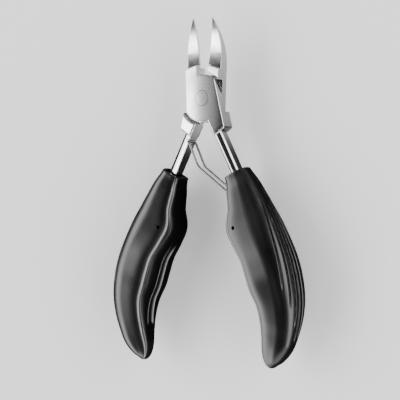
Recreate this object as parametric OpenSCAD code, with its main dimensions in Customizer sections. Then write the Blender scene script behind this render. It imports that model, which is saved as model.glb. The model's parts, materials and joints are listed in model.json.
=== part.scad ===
// Lap-joint nail nipper lying on its back, held open by its hairpin spring.
// Each lever carries one jaw and, past the pivot, the shank of the opposite grip.
// Both levers are drawn shut, about the pivot, and then swung open by half the opening each.

/* [Opening] */
// Angle between the cutting edges when the spring holds the nipper open
open_angle = 16; // [10:1:20]
// Gap left between the cutting edges when the nipper is shut
closing_gap = 0.1; // [0.06:0.02:0.3]

/* [Lap and pivot] */
// Thickness of the two lapped plates together
lap_thickness = 7.4; // [6.6:0.1:9]
// Running gap between the two plates
lap_play = 0.06; // [0.04:0.01:0.15]
// Radius of the round ends of each plate
lap_r = 11; // [10.4:0.1:12]
// Gap between the round end of a plate and the shoulders of the other lever
shoulder_gap = 1.2; // [0.8:0.1:1.5]
// Distance from the pivot to the flanks of the plates
flank_x = 8.7; // [8.2:0.1:9.4]
// Lean of the flanks, in degrees: the head is narrower at the jaws
flank_lean = 6; // [3:0.5:8]
// Diameter of the rivet's shank
rivet_d = 4.6; // [3.6:0.1:5.2]
// Diameter of the rivet's flush heads
rivet_head_d = 7.2; // [6.4:0.1:8]
// Depth of each countersunk rivet head
rivet_head_t = 1.3; // [0.9:0.1:1.6]
// Radial running clearance between the rivet and the rear lever
rivet_play = 0.04; // [0.02:0.01:0.08]

/* [Jaws] */
// Distance from the pivot to the jaw tips
jaw_reach = 37.4; // [33:0.1:42]
// Distance from the pivot to the centre of the arc that shapes the jaw's outer side
jaw_curve_y = 14; // [13:0.5:15]
// Distance from the pivot to the root of the cutting edge
edge_root_y = 15.6; // [15:0.1:17]
// Gap from the middle plane to the neck below the cutting edge
neck_gap = 1.15; // [0.6:0.05:1.5]
// Slope of the hollow's root across the jaw, in degrees
hollow_slope = 10; // [0:1:14]
// Radius of the hollow ground into the front of the jaws
hollow_r = 80; // [70:1:120]
// Height of the hollow's deepest line above the lap plane
hollow_z = 1.5; // [1:0.1:2]
// Distance from the pivot to the hollow's deepest line
hollow_mid_y = 22; // [20:0.5:26]
// Radius of the barrel-shaped back of the jaws
jaw_back_r = 57; // [52:1:70]
// Distance from the pivot to where the back of the jaws starts to curve
jaw_back_y = 11; // [9:0.5:12.5]
// Thickness of the flat land along each cutting edge
edge_land = 0.8; // [0.5:0.1:1.2]
// Slope of the bevel behind each cutting edge, in degrees
bevel_angle = 44; // [38:1:50]

/* [Shanks and tangs] */
// Lean of each shank away from the middle when the nipper is shut, in degrees
shank_angle = 19.5; // [18:0.5:21]
// Distance from the pivot to the rounded end of the shoulders
shoulder_r = 18.2; // [17:0.1:19.4]
// Width of the shank below the shoulder
shank_top_w = 4.2; // [3.8:0.1:4.8]
// Width of the shank at the mouth of the grip
shank_low_w = 5; // [4.4:0.1:5.4]
// Thickness of the shank below the shoulder
shank_top_t = 6.4; // [5.6:0.1:6.6]
// Thickness of the shank at the mouth of the grip
shank_low_t = 5.2; // [4.6:0.1:5.6]
// Radius of the rounded outer side of the shank
shank_round_r = 3.6; // [3.4:0.1:4.4]
// Distance from the pivot to the mouth of the grip, along the shank
grip_mouth = 38.2; // [36:0.1:41]
// Length of the tang inside the grip
tang_len = 40; // [30:1:46]
// Width of the tang
tang_w = 4.2; // [3.2:0.1:4.4]
// Thickness of the tang
tang_t = 3.4; // [2.6:0.1:4.2]
// Clearance of the tang in its socket, all round
tang_play = 0.05; // [0.02:0.01:0.15]

/* [Grips] */
// Length of each grip along the line of its shank
grip_len = 86; // [80:0.5:92]
// Width of the collar at the mouth of the grip
collar_w = 11.6; // [11:0.1:12.4]
// Thickness of the collar at the mouth of the grip
collar_t = 11.2; // [10.6:0.1:12]
// Radius of the collar's rounded edge
collar_edge = 0.7; // [0.4:0.1:1]
// Reach of the finger bump from the grip's spine, inwards
bump_reach = 13.1; // [12.4:0.1:14]
// Reach of the palm swell from the grip's spine, outwards
swell_reach = 11.5; // [10.8:0.1:12.6]
// Greatest thickness of the grip
grip_t = 22; // [19:0.1:24]
// Sideways sweep of the grip's tip, inwards from the shank's line
tip_sweep = 23; // [20:0.5:25]
// Length of the rounded tip
tip_round = 8; // [6:0.5:10]
// Height of the fine ridge along the seam with the inner pad
ridge_h = 0.3; // [0.15:0.05:0.4]
// Width of the shell's lip between the ridge and the pad
lip_w = 0.9; // [0.7:0.1:1.3]

/* [Inner pads] */
// Thickness of the pad let into the inner side of each grip
pad_t = 1.6; // [1.3:0.1:1.9]
// Clearance of the pad in its pocket
pad_play = 0.08; // [0.05:0.01:0.15]
// Distance from the mouth of the grip to the top of the pad
pad_top = 1.2; // [1.1:0.1:2]
// Distance from the bottom of the pad to the tip of the grip
pad_tail = 5; // [4:0.5:8]
// Width of the finger channel along the pad
channel_w = 3.8; // [3:0.1:4.4]
// Depth of the finger channel
channel_depth = 0.8; // [0.5:0.1:1]
// Distance from the mouth of the grip to the top of the channel
channel_top = 29; // [27:1:34]
// Distance from the bottom of the channel to the bottom of the pad
channel_tail = 6; // [4:0.5:12]

/* [Palm grooves] */
// Depth of the grooves on the back of the grip
groove_depth = 0.55; // [0.3:0.05:0.7]
// Half width of a groove, in degrees round the section
groove_half = 2.6; // [2:0.1:3]
// Length over which each groove runs out at its ends
groove_fade = 6; // [4:0.5:9]

/* [Cross pins] */
// Diameter of the pin across each grip
pin_d = 1.8; // [1.4:0.1:2.2]
// Distance of the pin below the mouth of the grip
pin_down = 23.5; // [22:0.5:26]
// Distance of the pin from the shank's line, inwards
pin_in = 8.8; // [8.4:0.1:9.6]
// Depth of the pin's ends below the surface of the grip
pin_sunk = 0.8; // [0.5:0.1:1.2]

/* [Spring] */
// Diameter of the spring wire
wire_d = 1.1; // [0.9:0.05:1.2]
// Distance between the centre lines of the spring's two legs
leg_pitch = 5.2; // [5:0.1:5.4]
// Radius of the corners where the legs turn into the bow
bow_corner = 1.1; // [0.9:0.1:1.4]
// Distance from the pivot to the notch that catches the bow, along the shank
notch_down = 21; // [20.4:0.1:24]
// Depth of the notch
notch_depth = 0.55; // [0.4:0.05:0.8]
// Slope of the legs below the bow, in degrees below the horizontal
leave_angle = 66; // [60:1:70]
// Slope of the legs where they enter the grip, in degrees below the horizontal
entry_angle = 36; // [30:1:40]
// Distance below the mouth of the grip where the legs enter the pad
entry_down = 7; // [6:0.5:8]
// Radius of the long bend in the legs
bend_r = 7; // [5:0.5:9]
// Clearance round the spring inside the grip
spring_play = 0.25; // [0.15:0.05:0.4]

/* [Hidden] */
$fn = 96;
eps = 0.01;
clear = 60;            // reach of the blocks that cut and clip

steel = [0.80, 0.81, 0.82];
dark_steel = [0.25, 0.25, 0.27];
black_shell = [0.10, 0.10, 0.11];
black_pad = [0.16, 0.16, 0.17];

half_open = open_angle / 2;
half_lap = lap_thickness / 2;
shoulder_in_r = lap_r + shoulder_gap;
flank_root = flank_x / cos(flank_lean);        // half width of the head at the pivot
flank_rate = tan(flank_lean);
jaw_root_w = flank(edge_root_y);
jaw_rise = jaw_reach - jaw_curve_y;
root_rise = edge_root_y - jaw_curve_y;
// the arc of the jaw's outer side would start at the flank at the root, and ends at the tip
jaw_side_x = (jaw_rise * jaw_rise - root_rise * root_rise - jaw_root_w * jaw_root_w) / (2 * jaw_root_w);
jaw_side_r = norm([jaw_side_x, jaw_rise]);
tang_end = grip_mouth + tang_len;
wire_r = wire_d / 2;
mouth_gap = 0.9;       // width of the recess round the shank at the mouth
mouth_recess = 1.4;    // depth of that recess

// ---- Smooth curves through a few stations ----

// Slope at station i, level at both ends
function knot_slope(x, y, i) =
    i == 0 || i == len(x) - 1 ? 0 : (y[i + 1] - y[i - 1]) / (x[i + 1] - x[i - 1]);
function span(x, at, i = 0) = i >= len(x) - 2 || at < x[i + 1] ? i : span(x, at, i + 1);
// Cubic through the stations (x, y)
function smooth(x, y, at) =
    let (i = span(x, at), w = x[i + 1] - x[i], t = min(max((at - x[i]) / w, 0), 1),
         a = knot_slope(x, y, i) * w, b = knot_slope(x, y, i + 1) * w)
    y[i] * (1 + 2 * t) * (1 - t) * (1 - t) + a * t * (1 - t) * (1 - t)
    + y[i + 1] * t * t * (3 - 2 * t) + b * t * t * (t - 1);
function column(table, k) = [for (row = table) row[k]];
function ease(t) = let (u = min(max(t, 0), 1)) u * u * (3 - 2 * u);

// ---- Form of the grips, in the frame of the right shank: x outwards, y back up the shank ----

// A station of the grip: share of its length, of the sweep, and of the greatest reaches
function station(down, sweep, inner, outer, thick) =
    [down * grip_len, sweep * tip_sweep, inner * bump_reach, outer * swell_reach, thick * grip_t / 2];
STATIONS = [
    [0, 0, collar_w / 2, collar_w / 2, collar_t / 2],
    station(0.09, 0.00, 0.62, 0.62, 0.62),
    station(0.18, 0.04, 0.74, 0.88, 0.73),
    station(0.26, 0.08, 1.00, 0.98, 0.82),
    station(0.34, 0.09, 0.98, 1.00, 0.92),
    station(0.44, 0.08, 0.92, 0.97, 0.99),
    station(0.53, 0.09, 0.97, 0.95, 1.00),
    station(0.62, 0.13, 0.99, 0.89, 0.98),
    station(0.72, 0.23, 0.87, 0.82, 0.87),
    station(0.81, 0.40, 0.77, 0.73, 0.71),
    station(0.89, 0.62, 0.68, 0.61, 0.54),
    station(1.00, 1.00, 0.50, 0.42, 0.38)];
DOWN = column(STATIONS, 0);
function spine_in(s) = smooth(DOWN, column(STATIONS, 1), s);
function inner_reach(s) = smooth(DOWN, column(STATIONS, 2), s) * tip_taper(s);
function outer_reach(s) = smooth(DOWN, column(STATIONS, 3), s) * tip_taper(s);
function half_thick(s) = smooth(DOWN, column(STATIONS, 4), s) * tip_taper(s);
// The last few millimetres round off like the end of an ellipse
tip_from = grip_len - tip_round;
function tip_taper(s) = let (t = max((s - tip_from) / tip_round, 0)) sqrt(1 - t * t);
TILT_STEP = 0.5;
function spine_tilt(s) =
    s <= 0 ? 0 : atan((spine_in(s + TILT_STEP) - spine_in(s - TILT_STEP)) / (2 * TILT_STEP));

OUTER_POWER = 2.2;     // the palm side is nearly elliptical
INNER_POWER = 4;       // the finger side is squarer
RIDGE_SHARE = 0.88;    // height of the seam ridge as a share of the half thickness
RIDGE_FOOT = 3;        // half width of the ridge, in degrees round the section
function oval(angle, reach, thick, power) =
    pow(pow(abs(cos(angle)) / reach, power) + pow(abs(sin(angle)) / thick, power), -1 / power);
// Radius of the section at an angle from the outward direction
function section_r(s, angle) =
    angle < 90 ? oval(angle, outer_reach(s), half_thick(s), OUTER_POWER)
               : oval(angle, inner_reach(s), half_thick(s), INNER_POWER);
// Inward distance of the finger side at height z
function finger_side(s, z) =
    inner_reach(s) * pow(1 - pow(min(z / half_thick(s), 1), INNER_POWER), 1 / INNER_POWER);
function ridge_z(s) = RIDGE_SHARE * half_thick(s);
function ridge_angle(s) = 180 - atan2(ridge_z(s), finger_side(s, ridge_z(s)));
function lip_z(s) = ridge_z(s) - lip_w * tip_taper(s);

// Palm grooves: angle from the outward direction, start and end down the grip
GROOVES = [[6, 5, 78], [16, 18, 72], [27, 26, 66], [39, 12, 59]];
// The grooves fan out towards the front and back on their way down
function groove_fan(s) = 0.55 + 0.95 * ease((s - 4) / 66);
function groove_cut(g, s) = groove_depth * ease((s - g[1]) / groove_fade) * ease((g[2] - s) / groove_fade);

// A point of the section as [outwards, up]
function on_section(s, angle, extra = 0) =
    let (r = section_r(s, angle) + extra) [r * cos(angle), r * sin(angle)];
PLAIN_COLUMNS = 8;     // columns between the last groove and the seam ridge
function groove_columns(s) = [
    for (g = GROOVES, side = [-1, 0, 1])
        on_section(s, (g[0] + side * groove_half) * groove_fan(s), side == 0 ? -groove_cut(g, s) : 0)];
function plain_columns(s) =
    let (a = (GROOVES[3][0] + groove_half) * groove_fan(s), b = ridge_angle(s))
    [for (k = [1 : PLAIN_COLUMNS]) on_section(s, a + (b - a) * k / (PLAIN_COLUMNS + 1))];
function ridge_columns(s) =
    let (a = ridge_angle(s)) [on_section(s, a - RIDGE_FOOT), on_section(s, a, ridge_h * tip_taper(s))];
function pocket_columns(s, depth) =
    let (z = lip_z(s))
    [[-finger_side(s, z), z], [-finger_side(s, z) + depth, z],
     [-finger_side(s, z / 2) + depth, z / 2], [-inner_reach(s) + depth, 0]];
function upper_half(s, depth) = concat(
    [on_section(s, 0)], groove_columns(s), plain_columns(s), ridge_columns(s), pocket_columns(s, depth));
function mirrored(half) = [for (k = [len(half) - 2 : -1 : 1]) [half[k][0], -half[k][1]]];

// Puts a section's points on the spine, square to it
function on_spine(s, points) =
    let (t = spine_tilt(s), c = spine_in(s))
    [for (p = points) [p[0] * cos(t) - c, -s - p[0] * sin(t), p[1]]];
function shell_ring(s, depth) = let (half = upper_half(s, depth)) on_spine(s, concat(half, mirrored(half)));
function shrunk(ring, by) = [for (p = ring) [p[0] * by, p[1], p[2] * by]];

RING_STEP = 2.3;       // most that two rings of the grip lie apart
WALL = 0.05;           // length of the steep end walls of the pad's pocket
function steps(from, to) =
    let (n = ceil((to - from) / RING_STEP)) [for (k = [0 : n]) from + (to - from) * k / n];
pad_end = grip_len - pad_tail;
channel_end = pad_end - channel_tail;
POCKET = steps(pad_top, pad_end);
// Rings below the pocket crowd towards the tip, which stays a small flat
TIP_RINGS = 7;
TIP_TURN = 88;
tip_start = asin((pad_end + WALL - tip_from) / tip_round);
TIP = [for (k = [0 : TIP_RINGS])
    tip_from + tip_round * sin(tip_start + (TIP_TURN - tip_start) * k / TIP_RINGS)];
SHELL_RINGS = concat(
    [shrunk(shell_ring(0, 0), 1 - 2 * collar_edge / collar_w),
     on_mouth(shell_ring(0, 0), 0.3 * collar_edge, 1 - 0.6 * collar_edge / collar_w),
     on_mouth(shell_ring(0, 0), collar_edge, 1)],
    [shell_ring(pad_top - WALL, 0)],
    [for (s = POCKET) shell_ring(s, pad_t)],
    [for (s = TIP) shell_ring(s, 0)]);
function on_mouth(ring, down, by) = [for (p = shrunk(ring, by)) [p[0], p[1] - down, p[2]]];

// Closed skin over a stack of rings with the same number of points
module skin(rings) {
    n = len(rings[0]);
    last = len(rings) - 1;
    sides = [
        for (i = [0 : last - 1], k = [0 : n - 1])
            let (a = i * n + k, b = i * n + (k + 1) % n)
            each [[a, b + n, b], [a, a + n, b + n]]];
    caps = [[for (k = [0 : n - 1]) k], [for (k = [n - 1 : -1 : 0]) last * n + k]];
    polyhedron([for (ring = rings) each ring], concat(sides, caps), convexity = 8);
}

// ---- Placing ----

function turn(p, a) = [p[0] * cos(a) - p[1] * sin(a), p[0] * sin(a) + p[1] * cos(a)];
grip_turn = shank_angle + half_open;
// A point given by its distance inwards from the right shank's line and down from the pivot
function by_right_shank(inwards, down) = turn([-inwards, -down], grip_turn);
function by_left_shank(inwards, down) = let (p = by_right_shank(inwards, down)) [-p[0], p[1]];

grip_points = [for (ring = SHELL_RINGS, p = ring) p];
lift = max(column(grip_points, 2));
low_y = min([for (p = grip_points) turn([p[0], p[1] - grip_mouth], grip_turn)[1]]);
high_y = turn([-closing_gap / 2, jaw_reach], half_open)[1];

// The finished nipper rests on its grips, with the middle of its length at the origin
module placed() { translate([0, -(low_y + high_y) / 2, lift]) children(); }
module in_right_shank() { rotate([0, 0, grip_turn]) children(); }
module in_grip() { in_right_shank() translate([0, -grip_mouth, 0]) children(); }
module in_left() { mirror([1, 0, 0]) children(); }

// ---- Levers: drawn shut, with the jaw on the left and the shank on the right ----

// Half width of the head at a height, between its leaning flanks
function flank(y) = flank_root - y * flank_rate;

module head_outline() {
    top = jaw_reach;
    low = -shoulder_r;
    polygon([[-flank(top), top], [flank(top), top], [flank(low), low], [-flank(low), low]]);
}

// One jaw and its neck: the flank runs on until it meets the arc
module jaw_outline() {
    difference() {
        intersection() {
            head_outline();
            translate([-clear, 0]) square([clear - closing_gap / 2, jaw_reach]);
            union() {
                translate([jaw_side_x, jaw_curve_y]) circle(r = jaw_side_r, $fn = 360);
                translate([-clear, 0]) square([clear, jaw_curve_y + jaw_side_r * sin(flank_lean)]);
            }
        }
        translate([-neck_gap, -eps]) square([neck_gap + eps, edge_root_y + eps]);
    }
}

// The shoulder, between the other lever's plate and the shank
module shoulder_outline() {
    intersection() {
        head_outline();
        circle(r = shoulder_r);
        rotate(shank_angle) translate([-shank_top_w / 2, -clear]) square([clear, clear]);
    }
}

module plate_outline() {
    intersection() {
        circle(r = lap_r);
        head_outline();
    }
}

// Wheel that grinds the hollow, stopped at a slanting root line
module hollow_wheel() {
    intersection() {
        translate([-clear, hollow_mid_y, hollow_z + hollow_r])
            rotate([0, 90, 0]) cylinder(r = hollow_r, h = 2 * clear, $fn = 360);
        translate([0, edge_root_y, 0]) rotate([0, 0, hollow_slope])
            translate([-clear, 0, 0]) cube([2 * clear, clear, clear]);
    }
}

// The bevel runs parallel to the hollow, so that the land keeps its width
module bevel_cut() {
    bevel_r = hollow_r / cos(bevel_angle);
    intersection() {
        translate([-jaw_root_w - eps, edge_root_y - neck_gap, -clear])
            cube([jaw_root_w + 2 * eps, clear, 2 * clear]);
        difference() {
            translate([-clear, 0, -clear]) cube(2 * clear);
            translate([-closing_gap / 2, hollow_mid_y, hollow_z - edge_land + bevel_r / cos(bevel_angle)])
                rotate([0, -bevel_angle, 0]) rotate([0, 90, 0])
                    cylinder(r = bevel_r, h = 8 * clear, center = true, $fn = 720);
        }
    }
}

module jaw() {
    difference() {
        intersection() {
            translate([0, 0, -half_lap]) linear_extrude(lap_thickness) jaw_outline();
            union() {
                translate([-clear, -clear, -half_lap]) cube([2 * clear, clear + jaw_back_y, lap_thickness]);
                translate([-clear, jaw_back_y, jaw_back_r - half_lap])
                    rotate([0, 90, 0]) cylinder(r = jaw_back_r, h = 2 * clear, $fn = 360);
            }
        }
        hollow_wheel();
        bevel_cut();
    }
}

// Tapered bar with a flat inner side and a rounded outer side
module shank() {
    rotate([0, 0, shank_angle]) {
        intersection() {
            linear_extrude(lap_thickness, center = true)
                polygon([[-shank_top_w / 2, -shoulder_in_r], [shank_top_w / 2, -shoulder_in_r],
                         [shank_low_w / 2, -grip_mouth - mouth_recess],
                         [-shank_low_w / 2, -grip_mouth - mouth_recess]]);
            rotate([0, 90, 0]) linear_extrude(2 * clear, center = true)
                polygon([[-shank_top_t / 2, -shoulder_in_r], [shank_top_t / 2, -shoulder_in_r],
                         [shank_low_t / 2, -grip_mouth - mouth_recess],
                         [-shank_low_t / 2, -grip_mouth - mouth_recess]]);
            translate([(shank_top_w + shank_low_w) / 4 - shank_round_r, 0, 0])
                rotate([90, 0, 0]) union() {
                    cylinder(r = shank_round_r, h = tang_end);
                    translate([-clear, -clear, 0]) cube([clear, 2 * clear, tang_end]);
                }
        }
        translate([-tang_w / 2, -tang_end, -tang_t / 2])
            cube([tang_w, tang_len - mouth_recess + eps, tang_t]);
    }
}

// Front lever when plate_up is true; the rear lever is its mirror image with the plate below
module lever(plate_up) {
    plate_z = plate_up ? lap_play / 2 : -half_lap;
    difference() {
        union() {
            jaw();
            shank();
            translate([0, 0, -half_lap]) linear_extrude(lap_thickness) shoulder_outline();
            translate([0, 0, plate_z]) linear_extrude(half_lap - lap_play / 2) plate_outline();
        }
        // room for the other lever's plate
        translate([0, 0, plate_up ? -clear + lap_play / 2 : -lap_play / 2])
            cylinder(r = shoulder_in_r, h = clear);
        rivet_hole(plate_up ? 0 : rivet_play);
    }
}

module rivet_profile(extra) {
    r = rivet_d / 2 + extra;
    head = rivet_head_d / 2 + extra;
    polygon([[0, -half_lap], [head, -half_lap], [r, -half_lap + rivet_head_t],
             [r, half_lap - rivet_head_t], [head, half_lap], [0, half_lap]]);
}

module rivet_hole(extra) { rotate_extrude() rivet_profile(extra); }

module front_lever() {
    color(steel) placed() rotate([0, 0, half_open]) lever(true);
}

module rear_lever() {
    color(steel) placed() difference() {
        in_left() rotate([0, 0, half_open]) lever(false);
        spring_notch();
    }
}

module pivot_rivet() { color(steel) placed() rotate_extrude() rivet_profile(0); }

// ---- Spring ----

TOUCH = 0.03;          // gap between the wire and what it bears on
bow_in = shank_top_w / 2 + wire_r - notch_depth;
BOW = by_left_shank(bow_in, notch_down);
leave = [cos(leave_angle), -sin(leave_angle)];
enter = [cos(entry_angle), -sin(entry_angle)];
leg_in = pin_in - pin_d / 2 - wire_r - TOUCH;  // the legs pass outside the pin
entry_at = grip_mouth + entry_down;
TURN_IN = by_right_shank(leg_in, entry_at);
function cross2(a, b) = a[0] * b[1] - a[1] * b[0];
// Where the sloping lines from the bow and into the grip meet
BEND = BOW + leave * cross2(TURN_IN - BOW, enter) / cross2(leave, enter);
PIN = by_right_shank(pin_in, grip_mouth + pin_down);
hook_r = pin_in - leg_in;

// Round seat of the bow, open along the way the legs leave it
module spring_notch() {
    r = wire_r + TOUCH;
    translate([BOW[0], BOW[1], 0]) {
        cylinder(r = r, h = lap_thickness, center = true);
        rotate([0, 0, -leave_angle]) translate([0, -r, -half_lap])
            cube([2 * bow_corner, 2 * r, lap_thickness]);
    }
}

function unit(v) = v / norm(v);
// Points on a round corner between the lines a-b and b-c, in n pieces
function corner(a, b, c, r, n) =
    let (u = unit(a - b), v = unit(c - b), half = acos(u * v) / 2, back = r / tan(half),
         centre = b + unit(u + v) * r / sin(half), from = b + u * back - centre, to = b + v * back - centre,
         sweep = 180 - 2 * half, way = sign(cross2(from, to)))
    [for (k = [0 : n]) centre + turn(from, way * sweep * k / n)];
HOOK_TURN = 200;       // how far the legs go round the pin
HOOK_STEPS = 10;
HOOK = [for (k = [0 : HOOK_STEPS]) PIN + turn(by_right_shank(leg_in, 0) - by_right_shank(pin_in, 0),
                                              HOOK_TURN * k / HOOK_STEPS)];
ENTRY_R = 4;           // radius of the bend where the legs turn down into the grip
LEG = concat([BOW + leave * bow_corner], corner(BOW, BEND, TURN_IN, bend_r, 6),
             corner(BEND, TURN_IN, HOOK[0], ENTRY_R, 3), HOOK);
leg_z = leg_pitch / 2;
function back_wards(list) = [for (k = [len(list) - 1 : -1 : 0]) list[k]];
BOW_TURN = [for (a = [15 : 15 : 75])
    [bow_corner * (1 - sin(a)), leg_z - bow_corner + bow_corner * cos(a)]];
BOW_POINTS = [for (b = BOW_TURN) [BOW[0] + leave[0] * b[0], BOW[1] + leave[1] * b[0], b[1]]];
WIRE = concat([for (p = back_wards(LEG)) [p[0], p[1], leg_z]], BOW_POINTS,
              [for (p = back_wards(BOW_POINTS)) [p[0], p[1], -p[2]]], [for (p = LEG) [p[0], p[1], -leg_z]]);

WIRE_SIDES = 10;
// Direction down the leg beside a point of the wire, which keeps the rings from twisting
function leg_way(path, i) =
    let (v = path[min(i + 1, len(path) - 1)] - path[max(i - 1, 0)], flat = [v[0], v[1], 0],
         back = i < len(path) / 2 ? -1 : 1)
    abs(path[i][2]) < leg_z - eps ? [leave[0], leave[1], 0] : unit(flat) * back;
function wire_ring(path, i) =
    let (way = unit(path[min(i + 1, len(path) - 1)] - path[max(i - 1, 0)]),
         b = unit(cross(leg_way(path, i), [0, 0, 1])), a = cross(b, way))
    [for (k = [0 : WIRE_SIDES - 1]) let (t = 360 * k / WIRE_SIDES)
        path[i] + wire_r * (cos(t) * a + sin(t) * b)];

module return_spring() {
    color(steel) placed() skin([for (i = [0 : len(WIRE) - 1]) wire_ring(WIRE, i)]);
}

// ---- Grips ----

// Recess round the shank, and the socket of the tang behind it
module shank_socket() {
    w = shank_low_w + 2 * mouth_gap;
    t = shank_low_t + 2 * mouth_gap;
    translate([-w / 2, -mouth_recess, -t / 2]) cube([w, mouth_recess + eps, t]);
    translate([-tang_w / 2 - tang_play, -tang_len - tang_play, -tang_t / 2 - tang_play])
        cube([tang_w + 2 * tang_play, tang_len + tang_play, tang_t + 2 * tang_play]);
}

module pin_hole() {
    translate([-pin_in, -pin_down, 0]) cylinder(d = pin_d, h = grip_t + eps, center = true);
}

// Slot that the spring's legs run in, from the pad down to the pin
slot_half = leg_z + wire_r + spring_play;
module spring_slot() {
    deep = leg_in - wire_r - spring_play;
    end = pin_down + hook_r + wire_r + spring_play;
    translate([-bump_reach, -end, -slot_half]) cube([bump_reach - deep, end - pad_top, 2 * slot_half]);
}

module shell() {
    difference() {
        skin(SHELL_RINGS);
        shank_socket();
        pin_hole();
    }
}

module right_grip() {
    color(black_shell) placed() in_grip() difference() {
        shell();
        spring_slot();
    }
}

module left_grip() { color(black_shell) placed() in_left() in_grip() shell(); }

PAD_EDGE = 0.25;       // rounding of the pad's edges below the lip
function channel_cut(s) =
    channel_depth * ease((s - channel_top) / groove_fade) * ease((channel_end - s) / groove_fade);
function pad_half(s) =
    let (z = lip_z(s) - pad_play, floor_x = pad_t - pad_play, c = channel_w / 2)
    [[-finger_side(s, 0) + floor_x, 0], [-finger_side(s, lip_z(s) / 2) + floor_x, lip_z(s) / 2],
     [-finger_side(s, z) + floor_x, z], [-finger_side(s, z) + PAD_EDGE, z],
     [-finger_side(s, z - PAD_EDGE), z - PAD_EDGE], [-finger_side(s, 0.6 * z), 0.6 * z],
     [-finger_side(s, c), c], [-finger_side(s, c) + channel_cut(s), 0.7 * c],
     [-finger_side(s, 0) + channel_cut(s), 0]];
function pad_ring(s) = let (half = pad_half(s)) on_spine(s, concat(half, mirrored(half)));
PAD_RINGS = [for (k = [0 : len(POCKET) - 1])
    pad_ring(k == 0 ? pad_top + pad_play : k == len(POCKET) - 1 ? pad_end - pad_play : POCKET[k])];

WINDOW_UP = 3;         // the window in the right pad, above and below where the legs enter
WINDOW_DOWN = 5;
module right_inner_pad() {
    color(black_pad) placed() in_grip() difference() {
        skin(PAD_RINGS);
        translate([-bump_reach, -entry_down - WINDOW_DOWN, -slot_half])
            cube([bump_reach, WINDOW_UP + WINDOW_DOWN, 2 * slot_half]);
    }
}

module left_inner_pad() { color(black_pad) placed() in_left() in_grip() skin(PAD_RINGS); }

module grip_pin() {
    top = pin_top - pin_sunk;
    in_grip() translate([-pin_in, -pin_down, 0]) cylinder(d = pin_d, h = 2 * top, center = true);
}
// Height of the grip's surface over the pin
pin_top = half_thick(pin_down)
    * pow(1 - pow((pin_in - spine_in(pin_down)) / inner_reach(pin_down), INNER_POWER), 1 / INNER_POWER);

module right_grip_pin() { color(dark_steel) placed() grip_pin(); }
module left_grip_pin() { color(dark_steel) placed() in_left() grip_pin(); }

front_lever();
rear_lever();
pivot_rivet();
return_spring();
right_grip();
left_grip();
right_inner_pad();
left_inner_pad();
right_grip_pin();
left_grip_pin();
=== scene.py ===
"""Looks of a lap-joint nail nipper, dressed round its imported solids.

The grips, their inner pads, the spring and the rivet are fine surfaces worked out from the same
sizes as the solids. The two levers are the solids themselves with their edges softly rounded.
Sizes of the forms are in millimetres and become metres when a mesh is made.
"""

from __future__ import annotations

import json
import logging
import math
from dataclasses import dataclass
from enum import Enum

import bmesh
import bpy
import numpy as np
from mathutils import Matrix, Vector


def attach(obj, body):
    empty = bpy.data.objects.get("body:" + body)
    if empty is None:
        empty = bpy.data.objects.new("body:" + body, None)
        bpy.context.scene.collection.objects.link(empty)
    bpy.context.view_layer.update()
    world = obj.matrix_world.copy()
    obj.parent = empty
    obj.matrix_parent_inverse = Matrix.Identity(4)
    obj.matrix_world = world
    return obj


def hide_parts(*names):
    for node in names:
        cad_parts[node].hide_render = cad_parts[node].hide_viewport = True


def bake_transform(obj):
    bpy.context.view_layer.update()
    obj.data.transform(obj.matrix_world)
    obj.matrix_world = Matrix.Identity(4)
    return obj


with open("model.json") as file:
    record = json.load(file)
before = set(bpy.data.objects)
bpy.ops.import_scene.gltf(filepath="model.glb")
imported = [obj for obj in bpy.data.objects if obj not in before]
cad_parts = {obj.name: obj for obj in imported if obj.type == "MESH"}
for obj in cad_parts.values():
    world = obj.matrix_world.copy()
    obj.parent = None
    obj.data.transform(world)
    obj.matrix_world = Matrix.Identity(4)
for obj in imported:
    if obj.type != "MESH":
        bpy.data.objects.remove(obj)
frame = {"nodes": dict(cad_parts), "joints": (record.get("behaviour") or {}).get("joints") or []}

LOG = logging.getLogger("nipper")
MM = 0.001
WELD = 1e-7  # points nearer than this, in metres, are one
PIVOT = np.array(frame["joints"][0]["pos_m"])


class Side(Enum):
    """The two halves of the nipper, by the side of their grip in the picture."""

    RIGHT = 1
    LEFT = -1

    @property
    def word(self) -> str:
        """Name of the side as it is used in node names."""
        return self.name.lower()

    @property
    def body(self) -> str:
        """CAD body that this side's grip rides on."""
        return "front_half" if self is Side.RIGHT else "rear_half"


# ---- Curves and surfaces as whole arrays ----


def through_stations(x: np.ndarray, y: np.ndarray, at: np.ndarray) -> np.ndarray:
    """Cubic curve through stations, level at both ends.

    Between two stations the curve is the Hermite cubic whose slopes are the chords over both
    neighbours.

    Args:
        x: Places of the stations, rising.
        y: Values at the stations.
        at: Places to work out.

    Returns:
        The values at those places.
    """
    slope = np.zeros_like(y)
    slope[1:-1] = (y[2:] - y[:-2]) / (x[2:] - x[:-2])
    i = np.clip(np.searchsorted(x, at, side="right") - 1, 0, len(x) - 2)
    w = x[i + 1] - x[i]
    t = np.clip((at - x[i]) / w, 0, 1)
    start, end = y[i] * (1 + 2 * t) * (1 - t) ** 2, y[i + 1] * t**2 * (3 - 2 * t)
    return start + end + slope[i] * w * t * (1 - t) ** 2 + slope[i + 1] * w * t**2 * (t - 1)


def ease(t: np.ndarray) -> np.ndarray:
    """Smooth step from 0 to 1: three squares less two cubes of the clipped value."""
    u = np.clip(t, 0, 1)
    return u * u * (3 - 2 * u)


def turned(points: np.ndarray, degrees: float) -> np.ndarray:
    """Points turned about +Z by an angle.

    Args:
        points: Array whose last axis starts with x and y.
        degrees: Angle, counter-clockwise seen from the front.

    Returns:
        A turned copy.
    """
    c, s = math.cos(math.radians(degrees)), math.sin(math.radians(degrees))
    out = np.array(points, float)
    out[..., 0] = c * points[..., 0] - s * points[..., 1]
    out[..., 1] = s * points[..., 0] + c * points[..., 1]
    return out


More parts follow.
